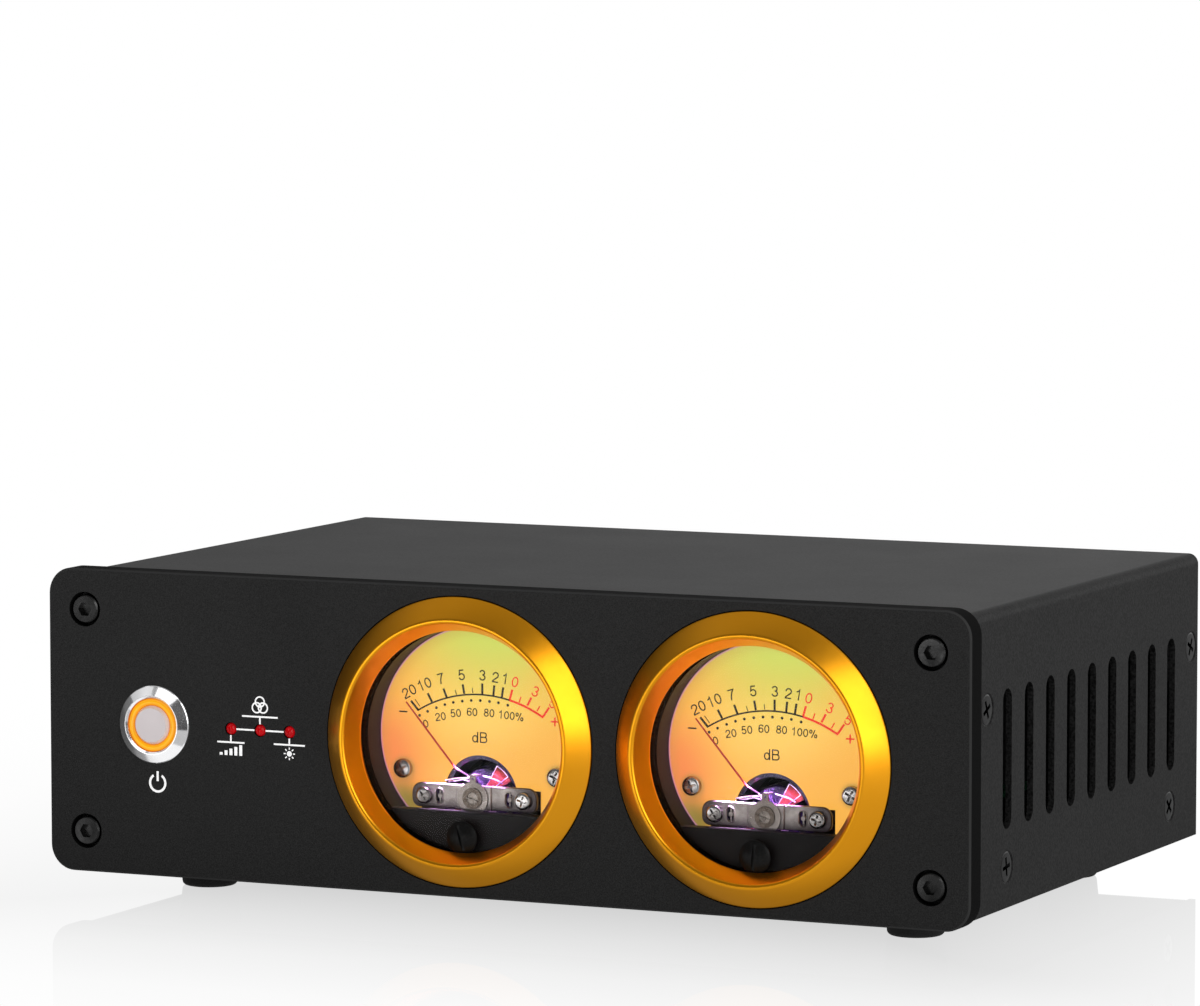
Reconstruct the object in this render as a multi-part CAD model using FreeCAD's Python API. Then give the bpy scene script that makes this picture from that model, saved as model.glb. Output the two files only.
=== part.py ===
import FreeCAD, Part

import math
import os

from FreeCAD import Vector

# Desktop stereo level meter: a folded steel box with two round moving-coil meters behind a thick aluminium panel.
#
# Millimetres. +X is the right-hand side seen from the front, +Y runs from the front to the rear, +Z is up.
# The sizes below are written with y = 0 at the front face of the panel and z = 0 at the surface that the feet
# stand on. Each finished sub-part is then moved by row_shift, so that the origin is at the middle of the
# object's underside.

# ---------------------------------------------------------------- case
panel_width = 190.0
panel_height = 58.5
panel_thickness = 5.0
panel_corner_radius = 5.0
panel_edge_chamfer = 0.35
cover_setback_side = 2.0        # the panel stands out past the cover at each side
cover_setback_top = 1.3         # and above and below it
case_length = 122.0             # from the back of the panel to the rear edge of the cover
sheet = 1.2                     # folded sheet steel
bend_radius = 2.0               # outer radius of the folds
sheet_gap = 0.15                # between the cover and the chassis inside it
relief = 0.5                    # cut at the end of a fold
foot_height = 6.5

vent_count = 9
vent_pitch = 11.05
vent_width = 4.5
vent_length = 26.0
vent_trail = 1.4                # of the slots' middle behind the middle of the cover
vent_drop = 0.3                 # and below it

flange_height = 12.5            # side flanges of the chassis, above its underside
rear_flange_height = 6.0        # and its rear flange
ear_height = 12.0               # ears that take the upper cover screws
ear_length = 13.0
rear_panel_rise = 0.3           # of the rear panel's lower edge above the chassis's underside
rear_screw_x = 60.0
rear_screw_rise = 3.4

cover_screw_front_inset = 8.1   # upper screws, from the front edge of the cover
cover_screw_rear_inset = 3.9    # and from its rear edge
cover_screw_top_inset = 18.1    # below its top
cover_screw_low_front_inset = 18.3  # lower screws, from its front edge
cover_screw_low_rear_inset = 15.7   # and from its rear edge
cover_screw_low_rise = 7.6      # above its lower edge

m3_shank_radius = 1.5
m3_clear_radius = 1.7
thread_gap = 0.04               # a screw in its tapped hole
counterbore_gap = 0.6
cap_head_radius = 2.75
cap_head_height = 3.0
cap_socket_flats = 2.5
cap_socket_depth = 1.3
flat_head_radius = 3.1
pan_head_radius = 2.8
pan_head_height = 2.0
cross_width = 0.7
cross_span = 3.2
cross_depth = 0.7
panel_screw_inset = 7.85
panel_screw_length = 12.0
cover_screw_length = 6.0

foot_top_radius = 6.0
foot_bottom_radius = 5.3
foot_edge_radius = 0.9
foot_screw_recess = 3.4
foot_inset_x = 18.9             # from the side of the cover
foot_inset_y = 20.7             # from its front and rear edges
screw_grip = 2.0                # of a screw's end past the sheet that it is tapped into

# ---------------------------------------------------------------- bezels and meters
control_row_middle = -9.95      # halfway from the button to the right meter, from the middle of the panel
meter_pitch = 59.7              # from one meter's middle to the other's
trimmer_meter_distance = 35.57  # from the last trimmer to the left meter's middle
case_radius = 22.4              # neck of the meter's case, inside the bezel's spigot
case_wall = 1.4
case_ledge_width = 1.0
case_flange_width = 3.4
case_flange_thickness = 2.0
case_body_step = 0.6
case_floor_y = 22.0
case_floor_thickness = 2.0
inside_gap = 0.1                # round what lies inside the case

spigot_wall = 1.55
spigot_gap = 0.25
spigot_end_gap = 0.3
ring_slope_inner = 2.25         # level width of the bezel's inner cone
ring_slope_outer = 4.2          # and of its outer cone
ring_lip_height = 3.3
ring_edge_rise = 0.15           # of the ring's rim above the panel
ring_seat_depth = 1.5
ring_gap = 0.2
ring_opening_y = 0.6
ring_land = 0.25
ring_pocket_step = 0.65
lip_round = 0.3

window_thickness = 1.0
window_skirt_wall = 1.15
window_end_y = 4.1
fit_gap = 0.05

dial_front_y = 9.3
dial_thickness = 0.6
dial_chord_z = -16.0            # lower edge of the dial, from the middle of the meter
dial_opening_radius = 7.75
dial_notch_half_width = 12.6
dial_notch_top = 1.6            # above the pivot
dial_screw_inset = 3.515        # from the edge of the dial
dial_screw_angle = 23.025       # below level
dial_screw_head_radius = 1.6
dial_screw_head_height = 1.2
dial_screw_length = 5.0
dial_post_radius = 1.9
m2_shank_radius = 0.95

pole_ring_gap = 0.3             # between the movement's pole ring and the ledge of the meter's case

bridge_half_width = 13.0
bridge_top = 2.4
bridge_bottom = -2.26
bridge_corner_radius = 1.7
bridge_back_y = 7.25
bridge_end_front_y = 6.6
bridge_middle_front_y = 6.25
bridge_middle_half_width = 3.7
bridge_foot_radius = 1.5
bridge_screw_x = 10.3
bridge_screw_head_radius = 1.5
bridge_screw_head_height = 0.9
bridge_slot_x = 7.25
bridge_slot_width = 1.4
bridge_slot_length = 2.7
bridge_slot_lip_width = 0.25
bridge_slot_lip_rise = 0.15

bush_radius = 1.7
bush_flange_radius = 2.0
bush_front_y = 5.7
bush_flange_thickness = 0.2
jewel_screw_radius = 1.07
jewel_screw_front_y = 5.8
jewel_screw_length = 1.5
jewel_slot_width = 0.3
jewel_slot_depth = 0.25
jewel_cup_radius = 0.45
jewel_cup_depth = 0.6

zero_disc_radius = 3.1
zero_disc_front_y = 5.95
zero_disc_thickness = 0.25
zero_tab_width = 1.3
zero_tab_reach = 4.4
zero_tab_back_y = 8.3
zero_tab_hole_radius = 0.2
zero_tab_hole_inset = 0.7       # from the tab's end
zero_fork_half_width = 1.0
zero_fork_reach = 6.9

adjuster_drop = 6.8             # of the zero adjuster's axis below the pivot
adjuster_head_radius = 3.1
adjuster_front_y = 0.35
adjuster_dome_depth = 0.85
adjuster_slot_width = 0.6
adjuster_slot_depth = 0.5
adjuster_shaft_radius = 1.6
adjuster_collar_radius = 2.0
adjuster_collar_thickness = 0.3
adjuster_pin_radius = 0.35
adjuster_eccentricity = 0.8
adjuster_pin_end_y = 6.4
left_slot_tilt = -15.0
right_slot_tilt = 5.0
fork_play = 0.07

mask_top_drop = 2.3             # of the mask's upper edge below the pivot
mask_front_y = 3.2
mask_wall = 1.0
mask_back_y = 5.7
mask_hole_radius = 1.5

core_radius = 5.3
core_front_y = 11.6
core_length = 5.8
core_chamfer = 0.4
pole_bore_radius = 6.9
pole_radius = 8.4
pole_front_y = 10.1
pole_length = 6.5
pole_ear_thickness = 2.5
core_web_angle = 44.0
pedestal_bore_radius = 7.4

coil_inner_radius = 5.6
coil_outer_radius = 6.6
coil_end_thickness = 1.0
coil_end_gap = 0.2
coil_angle = 27.0               # sector that one side of the winding fills
coil_hub_radius = 1.0

pointer_rest_angle = 40.6       # left of upright
pointer_length = 22.8
pointer_y = 7.8
pointer_thickness = 0.16
pointer_base_width = 0.55
pointer_tip_width = 0.34
pointer_crank_start = 5.0
pointer_crank_end = 7.0
pointer_hub_radius = 1.1
pointer_tail_reach = 3.4
pointer_weight_radius = 0.7
spindle_radius = 0.3
spindle_tip_gap = 0.1
rear_jewel_front_y = 20.2

spring_y = 8.0
spring_height = 0.25
spring_strip = 0.1
spring_inner_radius = 0.75
spring_pitch = 0.62
spring_half_turns = 9
spring_collet_gap = 0.1

light_board_gap = 0.4
light_board_ledge = 2.45
light_board_thickness = 1.2
light_board_seat = 1.3          # above the floor of the meter's case
light_board_hole_radius = 9.7
led_size = 5.0
led_height = 1.6
led_circle_inset = 4.4          # from the edge of the board
led_angles = (20, 52, 90, 128, 160)

terminal_x = 8.0
terminal_z = 6.0
terminal_radius = 1.5
terminal_reach = 8.0
terminal_nut_flats = 5.0
terminal_nut_height = 2.0

# ---------------------------------------------------------------- push button
button_flange_radius = 7.45
button_flange_edge = 0.4
button_flange_bevel = 0.15
button_rim_radius = 5.7
button_rim_height = 1.65
button_lip_drop = 0.3           # of the flange's inner bevel, from the rim to the bore
button_bore_radius = 5.2
button_barrel_radius = 6.0
button_hole_gap = 0.1
button_barrel_length = 14.0
button_nut_flats = 14.0
button_nut_thickness = 2.0
button_play = 0.08
button_travel = 2.0
button_cap_radius = 3.7
button_cap_height = 1.8         # of the cap's face in front of the panel
button_cap_bevel_width = 0.45
button_cap_bevel_depth = 0.7
button_ring_height = 1.35       # of the crest of the glowing ring
button_ring_crown = 0.4
button_ring_back = 2.0          # behind the front face of the panel
button_stem_radius = 2.4
button_plunger_thickness = 1.6
switch_body_step = 0.3
switch_body_length = 9.0
switch_pin_length = 4.0
switch_pin_width = 1.5
switch_pin_thickness = 0.5
switch_pin_offset = 2.6

# ---------------------------------------------------------------- trimmers
trimmer_offset = 16.35          # of the first trimmer from the button
trimmer_pitch = 6.24
trimmer_shaft_radius = 1.1
trimmer_hole_radius = 1.25
trimmer_proud = 0.5             # of the shaft's end in front of the panel
trimmer_dome = 0.75
trimmer_slot_width = 0.25
trimmer_slot_depth = 0.25
trimmer_body_width = 5.6
trimmer_body_height = 9.5
trimmer_body_depth = 5.0
trimmer_shaft_depth = 3.8       # of the shaft inside the body
trimmer_shaft_play = 0.05
trimmer_board_half_height = 8.0
trimmer_board_margin = 9.0      # past the outer trimmers
trimmer_board_post_inset = 2.8
trimmer_board_post_radius = 1.9

# ---------------------------------------------------------------- boards and sockets
board_thickness = 1.6
board_inset_x = 33.65           # from the sides of the chassis
board_length = 69.2
board_rear_gap = 0.6
standoff_height = 6.0
standoff_flats = 5.5
standoff_inset = 4.5
capacitor_radius = 5.0
capacitor_height = 14.0
capacitor_pitch = 13.0
capacitor_count = 5
capacitor_inset_x = 10.0        # of the first capacitor, from the left edge of the board
capacitor_inset_y = 28.0        # from its front edge
chip_length = 9.8
chip_width = 6.4
chip_height = 3.4
chip_pitch = 16.0
chip_count = 4
chip_inset_x = 20.0             # of the last chip, from the right edge of the board
chip_inset_y = 14.0             # from its front edge
chip_notch_radius = 0.8

jack_inset = 51.65              # of the middle of the phono sockets, from the right side of the chassis
jack_pitch_x = 16.0
jack_pitch_z = 14.2
jack_low_height = 9.0           # of the lower sockets above the board
jack_block_depth = 12.0
jack_block_margin = 7.3
jack_shell_radius = 4.15
jack_shell_wall = 0.7
jack_shell_reach = 9.0          # past the rear wall
jack_hole_gap = 0.5
jack_flange_radius = 4.5
jack_insulator_reach = 8.4
jack_pin_bore_radius = 1.62
jack_contact_wall = 0.33
jack_contact_depth = 8.0

power_socket_inset = 45.65      # from the left side of the chassis
power_socket_width = 9.0
power_socket_height = 11.0
power_socket_depth = 14.0
power_socket_bore_radius = 3.15
power_socket_bore_depth = 9.5
power_pin_radius = 1.05
power_wall_hole_radius = 4.0

# ---------------------------------------------------------------- values that follow
chassis_bottom = foot_height
panel_bottom = chassis_bottom - cover_setback_top
panel_top = panel_bottom + panel_height
panel_middle_z = panel_bottom + panel_height / 2
cover_half_width = panel_width / 2 - cover_setback_side
cover_top = panel_top - cover_setback_top
case_front = panel_thickness
case_rear = case_front + case_length
chassis_half_width = cover_half_width - sheet - sheet_gap
chassis_top = cover_top - sheet - sheet_gap
wall_back = case_front + sheet
rear_panel_front = case_rear - sheet
rear_flange_front = rear_panel_front - sheet
floor_top = chassis_bottom + sheet
cover_middle_y = case_front + case_length / 2
cover_middle_z = (chassis_bottom + cover_top) / 2
control_row_length = trimmer_offset + 2 * trimmer_pitch + trimmer_meter_distance + meter_pitch
button_x = control_row_middle - control_row_length / 2
trimmer_first_x = button_x + trimmer_offset
left_meter_x = trimmer_first_x + 2 * trimmer_pitch + trimmer_meter_distance
right_meter_x = left_meter_x + meter_pitch
jack_x = chassis_half_width - jack_inset
power_socket_x = -chassis_half_width + power_socket_inset
foot_x = cover_half_width - foot_inset_x

# one meter, from the inside out
case_bore_radius = case_radius - case_wall
case_ledge_radius = case_bore_radius - case_ledge_width
case_body_radius = case_radius + case_body_step
case_flange_radius = case_radius + case_flange_width
window_radius = case_radius - fit_gap
window_skirt_radius = window_radius - window_skirt_wall
spigot_radius = case_radius + fit_gap + spigot_wall
ring_opening_radius = case_bore_radius - inside_gap
ring_pocket_radius = ring_opening_radius + ring_pocket_step
ring_lip_radius = ring_opening_radius + ring_slope_inner
ring_radius = ring_lip_radius + ring_slope_outer
dial_radius = case_bore_radius - inside_gap
mask_radius = case_bore_radius - inside_gap
light_board_radius = case_ledge_radius - light_board_gap
led_circle_radius = light_board_radius - led_circle_inset
pivot_z = pole_radius + pole_ring_gap - case_ledge_radius     # of the spindle, from the middle of the meter
dial_screw_x = (dial_radius - dial_screw_inset) * math.cos(math.radians(dial_screw_angle))
dial_screw_z = (dial_screw_inset - dial_radius) * math.sin(math.radians(dial_screw_angle))

row_shift = Vector(0, -(case_rear + jack_shell_reach - ring_lip_height) / 2, 0)

os.makedirs("parts", exist_ok=True)


def save(node, solids):
    """Writes one sub-part, moved so that the origin is under the middle of the object."""
    shape = solids[0] if len(solids) == 1 else Part.makeCompound(solids)
    shape = shape.copy()
    shape.translate(row_shift)
    shape.exportStep(os.path.join("parts", node + ".step"))


# ---------------------------------------------------------------- shapes in general
def block(x0, x1, y0, y1, z0, z1):
    return Part.makeBox(x1 - x0, y1 - y0, z1 - z0, Vector(x0, y0, z0))


def rod_y(radius, x, z, y0, y1):
    return Part.makeCylinder(radius, y1 - y0, Vector(x, y0, z), Vector(0, 1, 0))


def rod_z(radius, x, y, z0, z1):
    return Part.makeCylinder(radius, z1 - z0, Vector(x, y, z0), Vector(0, 0, 1))


def pipe_y(outer, inner, x, z, y0, y1):
    return rod_y(outer, x, z, y0, y1).cut(rod_y(inner, x, z, y0, y1))


def turned_y(points, x, z, angle=360.0, start=0.0):
    """A solid of revolution about the line along Y through x, z, from (radius, y) points.

    The angle is measured clockwise from upright, seen from the front."""
    corners = [Vector(radius, y, 0) for radius, y in points]
    face = Part.Face(Part.makePolygon(corners + corners[:1]))
    solid = face.revolve(Vector(0, 0, 0), Vector(0, 1, 0), angle)
    solid.rotate(Vector(0, 0, 0), Vector(0, 1, 0), start - 90.0)
    solid.translate(Vector(x, 0, z))
    return solid


def turned_z(points, x, y):
    """A solid of revolution about the upright line through x, y, from (radius, z) points."""
    corners = [Vector(radius, 0, z) for radius, z in points]
    face = Part.Face(Part.makePolygon(corners + corners[:1]))
    solid = face.revolve(Vector(0, 0, 0), Vector(0, 0, 1), 360)
    solid.translate(Vector(x, y, 0))
    return solid


def prism_y(corners, y0, y1):
    """A prism along Y on an outline of (x, z) corners."""
    points = [Vector(x, y0, z) for x, z in corners]
    face = Part.Face(Part.makePolygon(points + points[:1]))
    return face.extrude(Vector(0, y1 - y0, 0))


def rounded_plate(x0, x1, z0, z1, y0, y1, radius, corners="all"):
    """A plate facing front, with its upright-to-level corners rounded: all of them, or only the top ones."""
    plate = block(x0, x1, y0, y1, z0, z1)
    middle = (z0 + z1) / 2
    edges = [
        edge for edge in plate.Edges
        if abs(edge.Vertexes[0].Y - edge.Vertexes[1].Y) > (y1 - y0) / 2
        and (corners == "all" or edge.CenterOfMass.z > middle)
    ]
    return plate.makeFillet(radius, edges)


def hexagon_prism(flats, height):
    """A hexagonal prism on the Z axis, with its lower face at z = 0."""
    radius = flats / math.sqrt(3)
    corners = [Vector(radius, 0, 0)]
    for turn in range(1, 6):
        angle = math.radians(60 * turn)
        corners.append(Vector(radius * math.cos(angle), radius * math.sin(angle), 0))
    face = Part.Face(Part.makePolygon(corners + corners[:1]))
    return face.extrude(Vector(0, 0, height))


def aimed(shape, place, direction):
    """Turns a shape made along +Z to a new direction and sets it at a place."""
    shape = shape.copy()
    shape.Placement = FreeCAD.Placement(place, FreeCAD.Rotation(Vector(0, 0, 1), direction))
    return shape


def without(shape, cutters):
    for cutter in cutters:
        shape = shape.cut(cutter)
    return shape


def joined(shapes):
    result = shapes[0]
    for shape in shapes[1:]:
        result = result.fuse(shape)
    return result.removeSplitter()


# ---------------------------------------------------------------- fasteners, each made pointing up from z = 0
def cross_recess(width, span, depth):
    """The cross of a screwdriver recess, cut down from z = 0."""
    bar = Part.makeBox(span, width, depth, Vector(-span / 2, -width / 2, 0))
    other = Part.makeBox(width, span, depth, Vector(-width / 2, -span / 2, 0))
    return bar.fuse(other)


def cap_screw(length):
    """Socket cap screw: the top of its head at z = 0, its thread pointing up."""
    body = Part.makeCylinder(cap_head_radius, cap_head_height)
    body = body.makeChamfer(cap_head_radius * 0.1, [body.Edges[2]])
    shank = Part.makeCylinder(m3_shank_radius, length, Vector(0, 0, cap_head_height))
    return body.fuse(shank).cut(hexagon_prism(cap_socket_flats, cap_socket_depth))


def flat_screw(length):
    """Countersunk screw, flush at z = 0: its head is as deep as the sheet."""
    head = Part.makeCone(flat_head_radius, m3_shank_radius, sheet)
    shank = Part.makeCylinder(m3_shank_radius, length - sheet, Vector(0, 0, sheet))
    return head.fuse(shank).cut(cross_recess(cross_width, cross_span, cross_depth))


def pan_screw(head_radius, head_height, shank_radius, length):
    """Round-headed cross-recess screw: the top of its head at z = 0."""
    crown = head_height * 0.55
    ball = (head_radius ** 2 + crown ** 2) / (2 * crown)
    head = Part.makeCylinder(head_radius, head_height)
    head = head.common(Part.makeSphere(ball, Vector(0, 0, ball)))
    shank = Part.makeCylinder(shank_radius, length, Vector(0, 0, head_height))
    scale = head_radius / flat_head_radius
    recess = cross_recess(cross_width * scale, cross_span * scale * 0.8, cross_depth * scale)
    return head.fuse(shank).cut(recess)


# ---------------------------------------------------------------- places that repeat
meters = {
    "left": {"x": left_meter_x, "slot_tilt": left_slot_tilt},
    "right": {"x": right_meter_x, "slot_tilt": right_slot_tilt},
}
pivot_height = panel_middle_z + pivot_z
adjuster_height = pivot_height - adjuster_drop
trimmer_places = {
    "gain": trimmer_first_x,
    "color": trimmer_first_x + trimmer_pitch,
    "light": trimmer_first_x + 2 * trimmer_pitch,
}
panel_screw_places = [
    (side * (panel_width / 2 - panel_screw_inset), panel_middle_z + level * (panel_height / 2 - panel_screw_inset))
    for side in (-1, 1) for level in (-1, 1)
]
cover_screw_upper_z = cover_top - cover_screw_top_inset
cover_screw_low_z = chassis_bottom + cover_screw_low_rise
cover_screw_places = [
    (case_front + cover_screw_front_inset, cover_screw_upper_z),
    (case_rear - cover_screw_rear_inset, cover_screw_upper_z),
    (case_front + cover_screw_low_front_inset, cover_screw_low_z),
    (case_rear - cover_screw_low_rear_inset, cover_screw_low_z),
]
rear_screw_places = [(side * rear_screw_x, chassis_bottom + rear_screw_rise) for side in (-1, 1)]
foot_places = [(side * foot_x, y) for side in (-1, 1) for y in (case_front + foot_inset_y, case_rear - foot_inset_y)]
jack_low_z = floor_top + standoff_height + board_thickness + jack_low_height
jack_places = [
    (jack_x + side * jack_pitch_x / 2, jack_low_z + level * jack_pitch_z)
    for side in (-1, 1) for level in (0, 1)
]
board_bottom = floor_top + standoff_height
board_top = board_bottom + board_thickness
board_rear_y = rear_panel_front - board_rear_gap
board_front_y = board_rear_y - board_length
board_right_x = chassis_half_width - board_inset_x
board_left_x = -board_right_x
standoff_places = [
    (x, y)
    for x in (board_left_x + standoff_inset, board_right_x - standoff_inset)
    for y in (board_front_y + standoff_inset, board_rear_y - jack_block_depth - standoff_inset)
]
trimmer_board_front = wall_back + trimmer_body_depth
trimmer_board_left = trimmer_places["gain"] - trimmer_board_margin
trimmer_board_right = trimmer_places["light"] + trimmer_board_margin
trimmer_post_places = [
    (trimmer_board_left + trimmer_board_post_inset, panel_middle_z - trimmer_board_half_height / 2),
    (trimmer_board_right - trimmer_board_post_inset, panel_middle_z + trimmer_board_half_height / 2),
]
power_socket_z = board_top + power_socket_height / 2
lip_front_y = -ring_lip_height


# ---------------------------------------------------------------- case
def front_panel():
    half = panel_width / 2
    panel = rounded_plate(-half, half, panel_bottom, panel_top, 0, panel_thickness, panel_corner_radius)
    rim = [edge for edge in panel.Edges if edge.BoundBox.YMax < panel_thickness / 2]
    panel = panel.makeChamfer(panel_edge_chamfer, rim)
    cutters = [rod_y(button_barrel_radius + button_hole_gap, button_x, panel_middle_z, 0, panel_thickness)]
    for x, z in panel_screw_places:
        cutters.append(rod_y(cap_head_radius + counterbore_gap, x, z, 0, cap_head_height))
        cutters.append(rod_y(m3_clear_radius, x, z, 0, panel_thickness))
    for meter in meters.values():
        cutters.append(rod_y(ring_radius + ring_gap, meter["x"], panel_middle_z, 0, ring_seat_depth))
        cutters.append(rod_y(spigot_radius + spigot_gap, meter["x"], panel_middle_z, 0, panel_thickness))
    for x in trimmer_places.values():
        cutters.append(rod_y(trimmer_hole_radius, x, panel_middle_z, 0, panel_thickness))
    return without(panel, cutters)


def stadium_x(width, length, y, z, x0, x1):
    """An upright slot with round ends, cut along X."""
    straight = (length - width) / 2
    slot = block(x0, x1, y - width / 2, y + width / 2, z - straight, z + straight)
    for end in (z - straight, z + straight):
        slot = slot.fuse(Part.makeCylinder(width / 2, x1 - x0, Vector(x0, y, end), Vector(1, 0, 0)))
    return slot


def stadium_y(width, length, x, z, y0, y1):
    """An upright bar with round ends, along Y."""
    straight = (length - width) / 2
    bar = block(x - width / 2, x + width / 2, y0, y1, z - straight, z + straight)
    return joined([bar] + [rod_y(width / 2, x, end, y0, y1) for end in (z - straight, z + straight)])


def top_cover():
    half = cover_half_width
    skin = rounded_plate(-half, half, chassis_bottom, cover_top, case_front, case_rear, bend_radius, "top")
    inner_half = half - sheet
    inner_top = cover_top - sheet
    inner_radius = bend_radius - sheet
    core = rounded_plate(
        -inner_half, inner_half, chassis_bottom - sheet, inner_top, case_front, case_rear, inner_radius, "top"
    )
    cover = skin.cut(core)
    cutters = []
    for side in (-1, 1):
        inner = min(side * half, side * inner_half)
        for index in range(vent_count):
            y = cover_middle_y + vent_trail + (index - (vent_count - 1) / 2) * vent_pitch
            cutters.append(stadium_x(vent_width, vent_length, y, cover_middle_z - vent_drop, inner, inner + sheet))
        for y, z in cover_screw_places:
            cone = Part.makeCone(flat_head_radius + fit_gap, m3_shank_radius + fit_gap, sheet)
            cutters.append(aimed(cone, Vector(side * half, y, z), Vector(-side, 0, 0)))
    return without(cover, cutters)


def level_edges(shape, top, length):
    """The edges along X that lie below a height and are longer than a length."""
    return [edge for edge in shape.Edges if edge.BoundBox.ZMax < top and edge.BoundBox.XLength > length]


def folded_channel():
    """The base with its front wall and its low rear flange, folded from one sheet: a channel along X."""
    half = chassis_half_width
    outer = block(-half, half, case_front, rear_panel_front, chassis_bottom, chassis_top)
    outer = outer.makeFillet(bend_radius, level_edges(outer, floor_top, half))
    inner = block(-half - sheet, half + sheet, wall_back, rear_flange_front, floor_top, chassis_top + sheet)
    inner = inner.makeFillet(bend_radius - sheet, level_edges(inner, floor_top + sheet, half))
    above = block(
        -half, half, wall_back, rear_panel_front, chassis_bottom + rear_flange_height, chassis_top + sheet
    )
    channel = outer.cut(inner).cut(above)
    corners = [
        edge for edge in channel.Edges
        if edge.BoundBox.ZMin > chassis_top - sheet and edge.BoundBox.XLength < sheet and
        edge.BoundBox.YLength > sheet / 2
    ]
    return channel.makeFillet(bend_radius, corners)


def side_flange(side):
    """An upturned flange along one side of the base."""
    y0 = wall_back + bend_radius
    y1 = rear_flange_front - bend_radius
    edge = chassis_half_width
    x0, x1 = sorted((side * edge, side * (edge - bend_radius)))
    strip = block(x0, x1, y0, y1, chassis_bottom, chassis_bottom + flange_height)
    fold = [
        one for one in strip.Edges
        if one.BoundBox.ZMax < floor_top and one.BoundBox.YLength > sheet and abs(one.CenterOfMass.x) > edge - sheet
    ]
    strip = strip.makeFillet(bend_radius * 0.99, fold)
    x0, x1 = sorted((side * (edge - sheet), side * (edge - 2 * bend_radius)))
    hollow = block(x0, x1, y0, y1, floor_top, chassis_bottom + 2 * flange_height)
    fold = [
        one for one in hollow.Edges
        if one.BoundBox.ZMax < floor_top + sheet and one.BoundBox.YLength > sheet
        and abs(one.CenterOfMass.x) > edge - bend_radius
    ]
    return strip.cut(hollow.makeFillet(bend_radius - sheet, fold))


def screw_ear(side, y0, y1):
    """An ear folded along one side, round an upper cover screw."""
    x0, x1 = sorted((side * chassis_half_width, side * (chassis_half_width - sheet)))
    return block(x0, x1, y0, y1, cover_screw_upper_z - ear_height / 2, cover_screw_upper_z + ear_height / 2)


def cover_screw_taps():
    """Tapped holes for the cover's screws, cut in from both sides."""
    tap = Part.makeCylinder(m3_shank_radius + thread_gap, sheet + bend_radius)
    return [
        aimed(tap, Vector(side * (chassis_half_width + sheet), y, z), Vector(-side, 0, 0))
        for side in (-1, 1) for y, z in cover_screw_places
    ]


def chassis():
    shell = folded_channel()
    for side in (-1, 1):
        x0, x1 = sorted((side * (chassis_half_width - bend_radius), side * (chassis_half_width + sheet)))
        strip = block(x0, x1, wall_back + relief, rear_flange_front - relief, chassis_bottom - sheet, floor_top + sheet)
        shell = shell.cut(strip)
    shapes = [shell, side_flange(-1), side_flange(1)]
    shapes += [screw_ear(side, case_front, case_front + ear_length) for side in (-1, 1)]
    for x, z in trimmer_post_places:
        shapes.append(rod_y(trimmer_board_post_radius, x, z, case_front, trimmer_board_front))
    shell = joined(shapes)
    cutters = [rod_y(button_barrel_radius + button_hole_gap, button_x, panel_middle_z, case_front, wall_back)]
    for meter in meters.values():
        cutters.append(rod_y(spigot_radius + spigot_gap, meter["x"], panel_middle_z, case_front, wall_back))
    for x in trimmer_places.values():
        cutters.append(rod_y(trimmer_hole_radius, x, panel_middle_z, case_front, wall_back))
    for x, z in panel_screw_places:
        cutters.append(rod_y(m3_shank_radius + thread_gap, x, z, case_front, wall_back))
    for x, z in trimmer_post_places:
        cutters.append(rod_y(m2_shank_radius + thread_gap, x, z, wall_back, trimmer_board_front))
    for x, y in foot_places:
        cutters.append(rod_z(m3_shank_radius + thread_gap, x, y, chassis_bottom - sheet, floor_top + sheet))
    for x, z in rear_screw_places:
        cutters.append(rod_y(m3_shank_radius + thread_gap, x, z, rear_flange_front, rear_panel_front))
    return without(shell, cutters + cover_screw_taps())


def rear_panel():
    """Flat rear panel with an ear at each side, and holes for the sockets."""
    half = chassis_half_width
    plate = rounded_plate(
        -half, half, chassis_bottom + rear_panel_rise, chassis_top, rear_panel_front, case_rear, bend_radius, "top"
    )
    plate = joined([plate] + [screw_ear(side, case_rear - ear_length, case_rear) for side in (-1, 1)])
    cutters = [rod_y(power_wall_hole_radius, power_socket_x, power_socket_z, rear_panel_front, case_rear)]
    for x, z in jack_places:
        cutters.append(rod_y(jack_flange_radius + jack_hole_gap, x, z, rear_panel_front, case_rear))
    for x, z in rear_screw_places:
        cutters.append(rod_y(m3_shank_radius + fit_gap, x, z, rear_panel_front, case_rear))
    return without(plate, cutters + cover_screw_taps())


def front_panel_screws():
    return [aimed(cap_screw(panel_screw_length - cap_head_height), Vector(x, 0, z), Vector(0, 1, 0))
            for x, z in panel_screw_places]


def cover_screws():
    return [aimed(flat_screw(cover_screw_length), Vector(side * cover_half_width, y, z), Vector(-side, 0, 0))
            for side in (-1, 1) for y, z in cover_screw_places]


def rubber_foot(x, y):
    hole = m3_shank_radius + fit_gap
    recess = pan_head_radius + counterbore_gap
    foot = turned_z([
        (hole, foot_height), (foot_top_radius, foot_height), (foot_bottom_radius, 0), (recess, 0),
        (recess, foot_screw_recess), (hole, foot_screw_recess),
    ], x, y)
    rim = [
        edge for edge in foot.Edges
        if edge.BoundBox.ZMax < foot_screw_recess / 2 and edge.BoundBox.XLength > 2 * recess + sheet
    ]
    return foot.makeFillet(foot_edge_radius, rim)


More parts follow.
